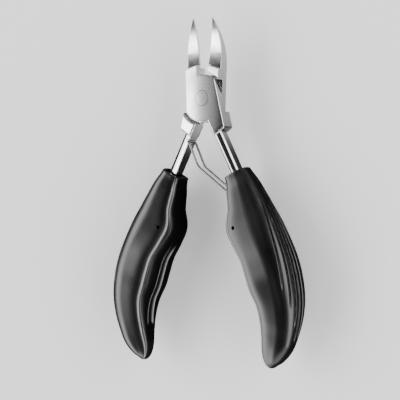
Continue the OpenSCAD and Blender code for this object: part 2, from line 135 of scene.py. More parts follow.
def unit_circle(n: int) -> np.ndarray:
    """Evenly spaced points round a unit circle square to Z."""
    turns = np.linspace(0, 2 * np.pi, n, endpoint=False)
    return np.column_stack([np.cos(turns), np.sin(turns), np.zeros(n)])


def read_all(
    items: bpy.types.bpy_prop_collection, key: str, width: int = 1, kind: type = np.float32
) -> np.ndarray:
    """One value of every item of a mesh, as an array.

    Args:
        items: Vertices, edges, corners or faces.
        key: Name of the value.
        width: Numbers in one value.
        kind: Type of the numbers.

    Returns:
        A row for each item, or a plain list of numbers where the width is 1.
    """
    out = np.zeros(len(items) * width, kind)
    items.foreach_get(key, out)
    return out.reshape(-1, width) if width > 1 else out


def mesh_of(
    name: str, points: np.ndarray, faces: list[tuple[int, ...]], painted_highlight: np.ndarray | None = None
) -> bpy.types.Object:
    """Makes a closed, outward-facing, smooth-shaded object from points in metres.

    Args:
        name: Name of the piece.
        points: n by 3 array.
        faces: Corner indices of each face.
        painted_highlight: Share of painted highlight, a lighter colour, at each point, 0 to 1.

    Returns:
        The linked object, at the origin.
    """
    mesh = bpy.data.meshes.new(name)
    mesh.from_pydata(points.tolist(), [], faces)
    if painted_highlight is not None:
        layer = mesh.attributes.new("painted_highlight", "FLOAT", "POINT")
        layer.data.foreach_set("value", painted_highlight.astype(np.float32).ravel())
    work = bmesh.new()
    work.from_mesh(mesh)
    bmesh.ops.remove_doubles(work, verts=work.verts, dist=WELD)
    bmesh.ops.recalc_face_normals(work, faces=work.faces)
    work.to_mesh(mesh)
    work.free()
    mesh.shade_smooth()
    obj = bpy.data.objects.new(name, mesh)
    bpy.context.scene.collection.objects.link(obj)
    return obj


def skin_of(rings: np.ndarray) -> tuple[np.ndarray, list[tuple[int, ...]]]:
    """Closed skin over rings of points: four-sided faces between rings and a fan at each end.

    Args:
        rings: Array of ring, point on the ring, and coordinate.

    Returns:
        The points, with the two poles last, and the faces.
    """
    n_rings, n = rings.shape[:2]
    a = np.arange(n)
    b = np.roll(a, -1)
    base = np.arange(n_rings - 1)[:, None] * n
    quads = np.stack([base + a, base + b, base + n + b, base + n + a], axis=-1).reshape(-1, 4)
    poles = np.stack([rings[0].mean(0), rings[-1].mean(0)])
    points = np.concatenate([rings.reshape(-1, 3), poles])
    first_pole, last_pole, last = len(points) - 2, len(points) - 1, (n_rings - 1) * n
    fans = [(int(j), int(i), first_pole) for i, j in zip(a, b)]
    fans += [(int(last + i), int(last + j), last_pole) for i, j in zip(a, b)]
    return points, [tuple(q) for q in quads.tolist()] + fans


def sharpen(obj: bpy.types.Object, degrees: float) -> None:
    """Shades smooth, but keeps the edges sharper than an angle crisp."""
    obj.data.shade_smooth()
    obj.data.set_sharp_from_angle(angle=math.radians(degrees))


def settle(obj: bpy.types.Object) -> None:
    """Turns an object's live modifiers into its mesh.

    Args:
        obj: Object whose modifiers are worked out and cleared.
    """
    depsgraph = bpy.context.evaluated_depsgraph_get()
    result = bpy.data.meshes.new_from_object(obj.evaluated_get(depsgraph))
    obj.modifiers.clear()
    result.name = obj.name
    obj.data = result


def carve(obj: bpy.types.Object, cutters: list[bpy.types.Object], crisp: float) -> None:
    """Cuts closed cutters out of a closed piece and removes them.

    Args:
        obj: Piece to cut.
        cutters: Closed objects, each taken out in turn.
        crisp: Angle in degrees above which an edge stays crisp.
    """
    for cutter in cutters:
        cut = obj.modifiers.new("cut", "BOOLEAN")
        cut.operation, cut.solver, cut.object = "DIFFERENCE", "EXACT", cutter
    settle(obj)
    for cutter in cutters:
        bpy.data.objects.remove(cutter)
    sharpen(obj, crisp)


# ---- Shader node groups ----


class NodeMaker:
    """Short hand for placing and joining shader nodes in one tree."""

    def __init__(self, tree: bpy.types.NodeTree) -> None:
        """Keeps the tree that the nodes go into."""
        self.tree = tree

    def add(self, kind: str, **values: object) -> bpy.types.Node:
        """Places a node.

        Args:
            kind: Blender's name of the node type.
            **values: Node properties, or input sockets named with underscores for spaces.

        Returns:
            The node.
        """
        node = self.tree.nodes.new(kind)
        for key, value in values.items():
            if hasattr(node, key):
                setattr(node, key, value)
            else:
                node.inputs[key.replace("_", " ")].default_value = value
        return node

    def join(self, output: bpy.types.NodeSocket, target: bpy.types.NodeSocket) -> None:
        """Links an output socket to an input socket."""
        self.tree.links.new(output, target)

    def maths(self, operation: str, *values: float | bpy.types.NodeSocket) -> bpy.types.NodeSocket:
        """A Math node.

        Args:
            operation: Blender's name of the operation.
            *values: Numbers or sockets, in the order of the node's inputs.

        Returns:
            The node's output.
        """
        node = self.tree.nodes.new("ShaderNodeMath")
        node.operation = operation
        for socket, value in zip(node.inputs, values):
            if isinstance(value, bpy.types.NodeSocket):
                self.join(value, socket)
            else:
                socket.default_value = value
        return node.outputs[0]

    def dot(self, a: bpy.types.NodeSocket, b: bpy.types.NodeSocket) -> bpy.types.NodeSocket:
        """Dot product of two vectors.

        Args:
            a: One vector.
            b: The other.

        Returns:
            The output with the number.
        """
        node = self.tree.nodes.new("ShaderNodeVectorMath")
        node.operation = "DOT_PRODUCT"
        self.join(a, node.inputs[0])
        self.join(b, node.inputs[1])
        return node.outputs["Value"]

    def spread(
        self, value: bpy.types.NodeSocket, low: float, high: float, to_low: float, to_high: float
    ) -> bpy.types.NodeSocket:
        """A value mapped from one range to another with soft ends.

        Args:
            value: The value.
            low: Start of its range.
            high: End of its range.
            to_low: Result at and below the start.
            to_high: Result at and past the end.

        Returns:
            The mapped value.
        """
        node = self.add("ShaderNodeMapRange", interpolation_type="SMOOTHSTEP")
        self.join(value, node.inputs["Value"])
        for name, number in zip(("From Min", "From Max", "To Min", "To Max"), (low, high, to_low, to_high)):
            node.inputs[name].default_value = number
        return node.outputs["Result"]

    def noise(
        self,
        place: bpy.types.NodeSocket,
        scale: float | bpy.types.NodeSocket,
        detail: float,
        rough: float,
    ) -> bpy.types.NodeSocket:
        """Noise from 0 to 1 at a place.

        Args:
            place: Vector output with the place.
            scale: Scale of the noise, a number or a socket.
            detail: Octaves.
            rough: Weight of the finer octaves.

        Returns:
            The noise's output.
        """
        node = self.add("ShaderNodeTexNoise", Detail=detail, Roughness=rough)
        self.join(place, node.inputs["Vector"])
        if isinstance(scale, bpy.types.NodeSocket):
            self.join(scale, node.inputs["Scale"])
        else:
            node.inputs["Scale"].default_value = scale
        return node.outputs["Fac"]

    def grey(self, tone: bpy.types.NodeSocket) -> bpy.types.NodeSocket:
        """A grey colour whose three channels are one value.

        Args:
            tone: The value.

        Returns:
            The colour.
        """
        colour = self.add("ShaderNodeCombineColor")
        for channel in ("Red", "Green", "Blue"):
            self.join(tone, colour.inputs[channel])
        return colour.outputs[0]

    def bump(
        self, height: bpy.types.NodeSocket, strength: float, depth: float, shader: bpy.types.Node
    ) -> None:
        """Feeds a shader's normal from a height.

        Args:
            height: Output with the height, 0 to 1.
            strength: How much of the bump shows.
            depth: Depth of the full height, in metres.
            shader: Shader that takes the normal.
        """
        node = self.add("ShaderNodeBump", Strength=strength, Distance=depth)
        self.join(height, node.inputs["Height"])
        self.join(node.outputs[0], shader.inputs["Normal"])


def new_group(
    name: str, inputs: dict[str, tuple[str, object]], outputs: dict[str, str]
) -> tuple[NodeMaker, bpy.types.Node, bpy.types.Node]:
    """Starts a shader node group.

    Args:
        name: Name of the group.
        inputs: Socket name to its type and default.
        outputs: Socket name to its type.

    Returns:
        A maker for the group's nodes, its input node and its output node.
    """
    tree = bpy.data.node_groups.new(name, "ShaderNodeTree")
    for label, (kind, default) in inputs.items():
        socket = tree.interface.new_socket(label, in_out="INPUT", socket_type=kind)
        socket.default_value = default
    for label, kind in outputs.items():
        tree.interface.new_socket(label, in_out="OUTPUT", socket_type=kind)
    return NodeMaker(tree), tree.nodes.new("NodeGroupInput"), tree.nodes.new("NodeGroupOutput")


FLOAT, VECTOR = "NodeSocketFloat", "NodeSocketVector"


def polish_lines_group() -> bpy.types.NodeTree:
    """Fine straight polishing marks: noise stretched along the place's own Y.

    Returns:
        A group with inputs Place, Pitch and Length, and outputs Marks and Haze from 0 to 1.
    """
    make, given, out = new_group(
        "polish_lines",
        {"Place": (VECTOR, (0, 0, 0)), "Pitch": (FLOAT, 9000.0), "Length": (FLOAT, 220.0)},
        {"Marks": FLOAT, "Haze": FLOAT},
    )
    scale = make.add("ShaderNodeCombineXYZ")
    for axis, name in zip("XYZ", ("Pitch", "Length", "Pitch")):
        make.join(given.outputs[name], scale.inputs[axis])
    stretched = make.add("ShaderNodeVectorMath", operation="MULTIPLY")
    make.join(given.outputs["Place"], stretched.inputs[0])
    make.join(scale.outputs[0], stretched.inputs[1])
    marks = make.noise(stretched.outputs[0], scale=1.0, detail=4.0, rough=0.62)
    haze = make.noise(given.outputs["Place"], scale=95.0, detail=3.0, rough=0.5)
    make.join(marks, out.inputs["Marks"])
    make.join(haze, out.inputs["Haze"])
    return make.tree


def moulded_skin_group() -> bpy.types.NodeTree:
    """Skin of a moulded grip: a fine spark-eroded grain, and a slow unevenness from handling.

    Returns:
        A group with inputs Place and Grain, and outputs Relief and Handling from 0 to 1.
    """
    make, given, out = new_group(
        "moulded_skin",
        {"Place": (VECTOR, (0, 0, 0)), "Grain": (FLOAT, 5200.0)},
        {"Relief": FLOAT, "Handling": FLOAT},
    )
    place = given.outputs["Place"]
    grain = make.noise(place, scale=given.outputs["Grain"], detail=2.0, rough=0.55)
    handling = make.noise(place, scale=42.0, detail=5.0, rough=0.55)
    make.join(grain, out.inputs["Relief"])
    make.join(handling, out.inputs["Handling"])
    return make.tree


@dataclass
class Groups:
    """The node groups that several finishes share."""

    polish: bpy.types.NodeTree
    moulded: bpy.types.NodeTree

    @classmethod
    def built(cls) -> Groups:
        """Builds each group once."""
        return cls(polish_lines_group(), moulded_skin_group())


def place_from(make: NodeMaker, origin: np.ndarray, degrees: float) -> bpy.types.NodeSocket:
    """Object coordinates measured from a point and turned about +Z.

    Args:
        make: Maker of the material's nodes.
        origin: Point that becomes zero, in metres.
        degrees: Turn that lays the pattern's Y along the piece.

    Returns:
        The vector output.
    """
    spot = make.add("ShaderNodeTexCoord")
    shifted = make.add("ShaderNodeVectorMath", operation="SUBTRACT")
    make.join(spot.outputs["Object"], shifted.inputs[0])
    shifted.inputs[1].default_value = tuple(float(v) for v in origin)
    turn = make.add("ShaderNodeMapping")
    turn.inputs["Rotation"].default_value = (0, 0, math.radians(degrees))
    make.join(shifted.outputs[0], turn.inputs["Vector"])
    return turn.outputs["Vector"]


def placed_group(make: NodeMaker, tree: bpy.types.NodeTree) -> bpy.types.Node:
    """A group node of that tree."""
    return make.add("ShaderNodeGroup", node_tree=tree)


def new_material(name: str) -> tuple[bpy.types.Material, NodeMaker, bpy.types.Node]:
    """Starts a material.

    Args:
        name: Name of the finish.

    Returns:
        The material, a maker for its nodes, and its Principled shader.
    """
    material = bpy.data.materials.new(name)
    material.use_nodes = True
    tree = material.node_tree
    return material, NodeMaker(tree), tree.nodes["Principled BSDF"]


# ---- Finishes ----


# how a texture moves a value: the texture's low and high, and the values it gives there
HAZE_TO_ROUGH = (0.3, 0.75, -0.025, 0.035)
MARKS_TO_ROUGH = (0.35, 0.7, -0.02, 0.03)
# only the texture's low and high, where the finish gives the values
HAZE_TO_TONE = (0.25, 0.8)
HANDLING_TO_ROUGH = (0.3, 0.72)
DRAWING_TO_ROUGH = (0.3, 0.7)


@dataclass(frozen=True)
class PolishedSteel:
    """Polished stainless steel: satin on the head, brighter away from it.

    Attributes:
        name: Name of the material.
        grey: Grey level of the metal.
        rough_head: Roughness beside the pivot.
        rough_away: Roughness past away_from.
        head_to: Distance from the pivot, in metres, to which the head's satin reaches.
        away_from: Distance from the pivot at which the brighter polish is reached.
        lines_turn: Turn of the polishing lines about +Z, in degrees.
        relief: Depth of the polishing lines, in metres.
        lines_share: How much of that relief shows.
        tones: Shares of the grey where the haze is thinnest and thickest.
        shade_from: Distance from the pivot past which a rivet's rim takes painted shade; 0 for none.
        shade_edge: Width of the painted shade's soft edge, in metres.
        shade_tone: Share of the grey that shows through the painted shade.
    """

    name: str
    grey: float = 0.62
    rough_head: float = 0.15
    rough_away: float = 0.12
    head_to: float = 0.0125
    away_from: float = 0.0145
    lines_turn: float = 0.0
    relief: float = 0.000004
    lines_share: float = 0.35
    tones: tuple[float, float] = (1.03, 0.95)
    shade_from: float = 0.0
    shade_edge: float = 0.00004
    shade_tone: float = 0.12

    def material(self, groups: Groups) -> bpy.types.Material:
        """Builds the material: lines in the bump, haze in the roughness and a little in the colour, and
        painted shade on a rivet's rim.

        Args:
            groups: The shared node groups.

        Returns:
            The material.
        """
        material, make, shader = new_material(self.name)
        place = place_from(make, PIVOT, self.lines_turn)
        polish = placed_group(make, groups.polish)
        make.join(place, polish.inputs["Place"])
        away = make.add("ShaderNodeVectorMath", operation="LENGTH")
        make.join(place, away.inputs[0])
        rough = make.spread(
            away.outputs["Value"], self.head_to, self.away_from, self.rough_head, self.rough_away
        )
        haze = make.spread(polish.outputs["Haze"], *HAZE_TO_ROUGH)
        marks = make.spread(polish.outputs["Marks"], *MARKS_TO_ROUGH)
        total = make.maths("ADD", make.maths("ADD", rough, haze), marks)
        make.join(total, shader.inputs["Roughness"])
        clear, hazy = (self.grey * share for share in self.tones)
        tone = make.spread(polish.outputs["Haze"], *HAZE_TO_TONE, clear, hazy)
        # painted shade: the colour darkens round the rivet's rim, where it meets the lever
        if self.shade_from:
            shade_to = self.shade_from + self.shade_edge
            rim_shade = make.spread(away.outputs["Value"], self.shade_from, shade_to, 1.0, self.shade_tone)
            tone = make.maths("MULTIPLY", tone, rim_shade)
        make.join(make.grey(tone), shader.inputs["Base Color"])
        make.bump(polish.outputs["Marks"], self.lines_share, self.relief, shader)
        shader.inputs["Metallic"].default_value = 1.0
        return material


@dataclass(frozen=True)
class MouldedPlastic:
    """Black moulded plastic.

    Attributes:
        name: Name of the material.
        colour: Base colour.
        rough: Middle roughness.
        sway: How far handling moves the roughness.
        relief: Depth of the moulded grain, in metres.
        coat: Weight of the smoother skin over it.
        coat_rough: Roughness of that skin.
        grain_share: How much of the relief shows.
        handled: How much paler the most handled places are.
        highlight_colour: Colour of the painted highlight along crests and brows.
        gloss: Specular level.
    """

    name: str
    colour: tuple[float, float, float]
    rough: float
    sway: float
    relief: float
    coat: float = 0.0
    coat_rough: float = 0.18
    grain_share: float = 0.3
    handled: float = 1.35
    # colour of the painted highlight on crests and brows
    highlight_colour: tuple[float, float, float] = (0.34, 0.34, 0.35)
    gloss: float = 0.5

    @staticmethod
    def _mixed(
        make: NodeMaker,
        factor: bpy.types.NodeSocket,
        a: tuple[float, float, float] | None,
        b: tuple[float, float, float],
    ) -> bpy.types.Node:
        """A colour mix by a factor.

        Args:
            make: Maker of the material's nodes.
            factor: Share of the second colour.
            a: First colour, or None where it is joined afterwards.
            b: Second colour.

        Returns:
            The mix node.
        """
        mix = make.add("ShaderNodeMix", data_type="RGBA")
        mix.inputs["A"].default_value = (*(a or b), 1)
        mix.inputs["B"].default_value = (*b, 1)
        make.join(factor, mix.inputs["Factor"])
        return mix

    def material(self, groups: Groups) -> bpy.types.Material:
        """Builds the material: grain in the bump, handling in the roughness and the colour, and a painted
        highlight mixed into the colour by a point attribute of the mesh.

        Args:
            groups: The shared node groups.

        Returns:
            The material.
        """
        material, make, shader = new_material(self.name)
        skin = placed_group(make, groups.moulded)
        make.join(place_from(make, PIVOT, 0), skin.inputs["Place"])
        handling = skin.outputs["Handling"]
        smooth, dull = self.rough - self.sway, self.rough + self.sway
        rough = make.spread(handling, *HANDLING_TO_ROUGH, smooth, dull)
        make.join(rough, shader.inputs["Roughness"])
        mix = self._mixed(make, handling, self.colour, tuple(self.handled * c for c in self.colour))
        # painted highlight: a point attribute of the mesh mixes a lighter colour over the black
        painted_highlight = make.add("ShaderNodeAttribute", attribute_name="painted_highlight").outputs["Fac"]
        highlighted = self._mixed(make, painted_highlight, None, self.highlight_colour)
        make.join(mix.outputs["Result"], highlighted.inputs["A"])
        make.join(highlighted.outputs["Result"], shader.inputs["Base Color"])
        make.bump(skin.outputs["Relief"], self.grain_share, self.relief, shader)
        shader.inputs["Coat Weight"].default_value = self.coat
        shader.inputs["Coat Roughness"].default_value = self.coat_rough
        shader.inputs["Specular IOR Level"].default_value = self.gloss
        return material


@dataclass(frozen=True)
class DrawnWire:
    """Bright drawn wire: lengthwise drawing marks that follow the wire's own UV map.

    Attributes:
        name: Name of the material.
        grey: Grey level of the metal.
        rough: Middle roughness.
        smoother: How far the smoothest marks lie below it.
        rougher: How far the roughest lie above it.
        pitch: Marks round the wire.
        length: Marks along each millimetre.
        relief: Depth of the marks, in metres.
        marks_share: How much of that relief shows.
    """

    name: str
    grey: float
    rough: float
    smoother: float = 0.06
    rougher: float = 0.08
    pitch: float = 60.0
    length: float = 0.9
    relief: float = 0.00001
    marks_share: float = 0.25

    def material(self, groups: Groups) -> bpy.types.Material:
        """Builds the material: marks in roughness and bump, along the wire.

        Args:
            groups: The shared node groups.

        Returns:
            The material.
        """
        material, make, shader = new_material(self.name)
        uv = make.add("ShaderNodeUVMap", uv_map="along")
        polish = placed_group(make, groups.polish)
        make.join(uv.outputs["UV"], polish.inputs["Place"])
        polish.inputs["Pitch"].default_value = self.pitch
        polish.inputs["Length"].default_value = self.length
        low, high = self.rough - self.smoother, self.rough + self.rougher
        rough = make.spread(polish.outputs["Marks"], *DRAWING_TO_ROUGH, low, high)
        make.join(rough, shader.inputs["Roughness"])
        shader.inputs["Base Color"].default_value = (self.grey, self.grey, self.grey, 1)
        shader.inputs["Metallic"].default_value = 1.0
        make.bump(polish.outputs["Marks"], self.marks_share, self.relief, shader)
        return material


# ---- Grips ----


@dataclass(frozen=True)
class GripForm:
    """Form of one grip in the frame of its shank: x outwards, y back up the shank, in millimetres."""

    half_open: float = 8.0
    shank_angle: float = 19.5
    mouth: float = 38.2
    length: float = 86.0
    collar_w: float = 11.6
    collar_t: float = 11.2
    collar_edge: float = 0.7
    bump_reach: float = 13.1
    swell_reach: float = 11.5
    thickness: float = 22.0
    tip_sweep: float = 23.0
    tip_round: float = 8.0
    ridge_h: float = 0.3
    ridge_share: float = 0.88
    lip_w: float = 0.9
    pad_t: float = 1.6
    pad_play: float = 0.08
    pad_top: float = 1.2
    pad_tail: float = 5.0
    channel_w: float = 3.8
    channel_depth: float = 0.8
    channel_top: float = 29.0
    channel_tail: float = 6.0
    groove_depth: float = 0.45
    groove_half: float = 2.6
    groove_fade: float = 6.0
    groove_share: float = 0.52
    fan_at_top: float = 0.55
    fan_gain: float = 0.95
    fan_from: float = 4.0
    fan_run: float = 66.0
    outer_power: float = 2.2
    inner_power: float = 4.0
    # share of the length, of the sweep, and of the greatest inner, outer and thickness reaches
    stations: tuple[tuple[float, ...], ...] = (
        (0.09, 0.00, 0.62, 0.65, 0.62),
        (0.18, 0.04, 0.74, 0.82, 0.73),
        (0.26, 0.08, 1.00, 0.95, 0.83),
        (0.34, 0.09, 0.98, 1.00, 0.92),
        (0.44, 0.08, 0.92, 0.97, 0.99),
        (0.53, 0.09, 0.97, 0.95, 1.00),
        (0.62, 0.13, 0.99, 0.89, 0.98),
        (0.72, 0.23, 0.87, 0.82, 0.87),
        (0.81, 0.40, 0.77, 0.73, 0.71),
        (0.89, 0.62, 0.68, 0.61, 0.54),
        (1.00, 1.00, 0.50, 0.42, 0.38),
    )
    inside: float = 0.03  # the skin stays this far inside the solid
    # palm grooves: angle from outwards, and where each starts and ends down the grip
    grooves: tuple[tuple[float, float, float], ...] = (
        (6, 5, 78),
        (16, 18, 72),
        (27, 26, 66),
        (39, 12, 59),
    )

    @property
    def pad_end(self) -> float:
        """Distance from the mouth to the bottom of the pad."""
        return self.length - self.pad_tail

    def _column(self, k: int, scale: float, first: float, s: np.ndarray) -> np.ndarray:
        """One column of the stations as a curve down the grip, starting from the collar's value.

        Args:
            k: Index of the column.
            scale: Size that the column's shares are of.
            first: Value at the collar.
            s: Distance down the grip.

        Returns:
            The curve's values.
        """
        x = np.array([0.0] + [row[0] * self.length for row in self.stations])
        y = np.array([first] + [row[k] * scale for row in self.stations])
        return through_stations(x, y, s)

    def spine(self, s: np.ndarray) -> np.ndarray:
        """Inward sweep of the spine."""
        return self._column(1, self.tip_sweep, 0.0, s)

    def taper(self, s: np.ndarray) -> np.ndarray:
        """Quarter ellipse that closes the tip."""
        t = np.maximum((s - self.length + self.tip_round) / self.tip_round, 0)
        return np.sqrt(np.maximum(1 - t * t, 0))

    def inner(self, s: np.ndarray) -> np.ndarray:
        """Reach of the finger side from the spine."""
        return self._column(2, self.bump_reach, self.collar_w / 2, s) * self.taper(s)

    def outer(self, s: np.ndarray) -> np.ndarray:
        """Reach of the palm side from the spine."""
        return self._column(3, self.swell_reach, self.collar_w / 2, s) * self.taper(s)

    def thick(self, s: np.ndarray) -> np.ndarray:
        """Half the thickness."""
        return self._column(4, self.thickness / 2, self.collar_t / 2, s) * self.taper(s)

    def tilt(self, s: np.ndarray) -> np.ndarray:
        """Slope angle of the spine, in radians, from its rise over a millimetre."""
        half = 0.5
        return np.where(s <= 0, 0, np.arctan(self.spine(s + half) - self.spine(s - half)))

    def section(self, s: np.ndarray, angle: np.ndarray) -> np.ndarray:
        """Radius of the section: a superellipse with its own reach and power on each side.

        Args:
            s: Distance down the grip.
            angle: Degrees from the outward direction, 0 to 180.

        Returns:
            The radius, of the shape that the two broadcast to.
        """
        out = angle < 90
        reach = np.where(out, self.outer(s), self.inner(s))
        power = np.where(out, self.outer_power, self.inner_power)
        c, z = np.abs(np.cos(np.radians(angle))), np.abs(np.sin(np.radians(angle)))
        return ((c / reach) ** power + (z / self.thick(s)) ** power) ** (-1 / power)

    def finger_side(self, s: np.ndarray, z: np.ndarray) -> np.ndarray:
        """Inward distance of the finger side at a height."""
        share = np.clip(z / self.thick(s), 0, 1)
        return self.inner(s) * (1 - share**self.inner_power) ** (1 / self.inner_power)

    def ridge_angle(self, s: np.ndarray) -> np.ndarray:
        """Angle at which the seam ridge lies."""
        z = self.ridge_share * self.thick(s)
        return 180 - np.degrees(np.arctan2(z, self.finger_side(s, z)))

    def lip_z(self, s: np.ndarray) -> np.ndarray:
        """Height of the edge of the pad's pocket."""
        return self.ridge_share * self.thick(s) - self.lip_w * self.taper(s)

    def groove_sink(self, s: np.ndarray, angle: np.ndarray) -> np.ndarray:
        """Depth of the palm grooves: a bell across each groove, easing out at its ends.

        The grooves fan apart down the grip, and each widens as they do.

        Args:
            s: Distance down the grip.
            angle: Degrees from the outward direction.

        Returns:
            Depth in millimetres.
        """
        fan = self.fan_at_top + self.fan_gain * ease((s - self.fan_from) / self.fan_run)
        half = self.groove_share * self.groove_half * fan
        sink = np.zeros(np.broadcast(s, angle).shape)
        for middle, start, end in self.grooves:
            across = (angle - middle * fan) / half
            run = ease((s - start) / self.groove_fade) * ease((end - s) / self.groove_fade)
            sink = np.maximum(sink, self.groove_depth * run * np.exp(-(across**2)))
        return sink

    def on_spine(self, s: np.ndarray, across: np.ndarray, up: np.ndarray) -> np.ndarray:
        """Points of the sections, set square to the spine.

        Args:
            s: Distance down the grip, as a column.
            across: Outward distance from the spine.
            up: Height.

        Returns:
            Array of ring, point and coordinate, in the frame of the shank.
        """
        t = self.tilt(s)
        x = across * np.cos(t) - self.spine(s)
        y = -s - across * np.sin(t)
        return np.stack([x, np.broadcast_to(y, x.shape), np.broadcast_to(up, x.shape)], axis=-1)

    def to_row(self, points: np.ndarray, side: Side) -> np.ndarray:
        """Points of the shank's frame brought to the row frame, in metres.

        Args:
            points: Array whose last axis is x, y, z in millimetres.
            side: Which grip.

        Returns:
            The same array in metres, mirrored for the left grip.
        """
        moved = np.array(points, float)
        moved[..., 1] -= self.mouth
        moved = turned(moved, self.shank_angle + self.half_open)
        moved[..., 0] *= side.value
        return moved * MM + PIVOT


def mirrored_ring(across: np.ndarray, up: np.ndarray) -> tuple[np.ndarray, np.ndarray]:
    """Joins an upper half section to its mirror image below.

    Args:
        across: Outward distances of the upper half, ring by point.
        up: Heights of the upper half; the first and last lie at zero.

    Returns:
        Both for the whole ring.
    """
    back = slice(-2, 0, -1)
    return (
        np.concatenate([across, across[:, back]], axis=1),
        np.concatenate([up, -up[:, back]], axis=1),
    )


@dataclass
class MouldedGrip:
    """One grip: shell with its collar, ridge, grooves and pocket, the inner pad, and the cross pin."""

    side: Side
    form: GripForm
    shell_finish: bpy.types.Material
    pad_finish: bpy.types.Material
    pin_finish: bpy.types.Material
    palm_columns: int = 100
    palm_angle: float = 64.0
    flank_columns: int = 34
    ridge_columns: int = 12
    lip_columns: int = 5
    wall_shares: tuple[float, ...] = (0.0, 0.35, 1.0)
    floor_shares: tuple[float, ...] = (0.75, 0.5, 0.25, 0.0)
    face_columns: int = 46
    edge_rings: int = 5
    back_shares: tuple[float, ...] = (1.0, 0.5, 0.0)
    ring_step: float = 0.55
    wall_step: float = 0.04
    below_collar: float = 0.1
    ridge_foot: float = 3.0
    ridge_past: float = 2.2
    ridge_fullness: float = 0.8
    # width, cut-off, start and fade of the painted highlight along the seam ridge
    highlight_width: float = 0.33
    highlight_cut: float = 0.8
    highlight_from: float = 1.5
    highlight_fade: float = 3.0
    shell_crisp: float = 38.0
    pad_crisp: float = 45.0
    pad_edge_r: float = 0.2
    end_play: float = 0.03
    brow: float = 0.55
    # width of the painted highlight along the channel's brows
    brow_highlight: float = 0.26
    channel_end_fade: float = 1.6
    recess_gap: float = 0.9
    recess_depth: float = 1.4
    collar_rings: int = 6
    recess_lead: float = 0.12
    recess_flare: float = 1.06
    recess_power: float = 7.0
    shank_w: float = 5.0
    shank_t: float = 5.2
    tip_turn: float = 88.0
    tip_first: float = 4.0
    tip_rings: int = 30
    pin_sides: int = 48
    pin_d: float = 1.8
    pin_down: float = 23.5
    pin_in: float = 8.8
    slot_half: float = 3.4
    slot_in: float = 6.45
    slot_end: float = 26.8
    window: tuple[float, float] = (4.0, 12.0)

    def _stations_down(self) -> np.ndarray:
        """Rings from below the collar's rounding to the tip, closer at the pocket's ends and the tip.

        Returns:
            Their distances down the grip, as a column.
        """
        form = self.form
        tip_from = form.length - form.tip_round
        body = np.arange(form.collar_edge + self.below_collar, tip_from, self.ring_step)
        wall = self.wall_step
        ends = [form.pad_top - wall, form.pad_top, form.pad_end, form.pad_end + wall]
        turns = np.radians(np.linspace(self.tip_first, self.tip_turn, self.tip_rings))
        tip = tip_from + form.tip_round * np.sin(turns)
        rings = np.concatenate([body, ends, tip])
        return np.unique(np.round(rings, 4))[:, None]

    def _upper_half(self, s: np.ndarray, pocket: np.ndarray) -> tuple[np.ndarray, np.ndarray]:
        """Upper half of the shell's sections: palm, flank, seam ridge, lip and pocket floor.

        The palm and flank are the superellipse less the grooves. The ridge is half a sine wave
        high over a few degrees. The lip follows the finger side down to the pocket, whose floor
        lies one depth behind the finger side.

        Args:
            s: Distances down the grip, as a column.
            pocket: Depth of the pocket at each of them.

        Returns:
            Outward distances and heights, ring by point.
        """
        form = self.form
        ridge = form.ridge_angle(s)
        foot = self.ridge_foot
        palm = np.linspace(0, self.palm_angle, self.palm_columns)[None, :]
        palm = np.broadcast_to(palm, (len(s), self.palm_columns))
        share = np.linspace(0, 1, self.flank_columns + 1)[None, 1:]
        flank = self.palm_angle + (ridge - foot - self.palm_angle) * share
        angle = np.concatenate([palm, flank], axis=1)
        radius = form.section(s, angle) - form.groove_sink(s, angle) - form.inside
        over = np.linspace(0, 1, self.ridge_columns + 1)[None, 1:]
        ridge_at = ridge - foot + (foot + self.ridge_past) * over
        raised = form.ridge_h * form.taper(s) * np.sin(np.pi * over) ** self.ridge_fullness
        angle = np.concatenate([angle, ridge_at], axis=1)
        ridge = form.section(s, ridge_at) + raised - form.inside
        radius = np.concatenate([radius, ridge], axis=1)
        across, up = radius * np.cos(np.radians(angle)), radius * np.sin(np.radians(angle))
        top, edge = up[:, -1:], form.lip_z(s)
        lip_up = top + (edge - top) * np.linspace(0, 1, self.lip_columns + 1)[None, 1:]
        lip_across = form.inside - form.finger_side(s, lip_up)
        wall_up = np.broadcast_to(edge, (len(s), len(self.wall_shares)))
        wall_across = form.inside - form.finger_side(s, edge) + pocket * np.array(self.wall_shares)
        floor_up = edge * np.array(self.floor_shares)
        floor_across = form.inside - form.finger_side(s, floor_up) + pocket
        return (
            np.concatenate([across, lip_across, wall_across, floor_across], axis=1),
            np.concatenate([up, lip_up, wall_up, floor_up], axis=1),
        )

    def _crest(self, columns: int) -> np.ndarray:
        """Share of painted highlight round one ring: a bell over the seam ridge, above and below.

        Args:
            columns: Number of points in a ring.

        Returns:
            The share at each point.
        """
        first = self.palm_columns + self.flank_columns
        over = (np.arange(columns) - first + 1) / self.ridge_columns
        middle = 0.5
        off_crest = over - middle
        bell = np.exp(-((off_crest / self.highlight_width) ** 2))
        painted_highlight = np.where(np.abs(off_crest) < self.highlight_cut, bell, 0)
        return np.maximum(painted_highlight, np.roll(painted_highlight[::-1], 1))

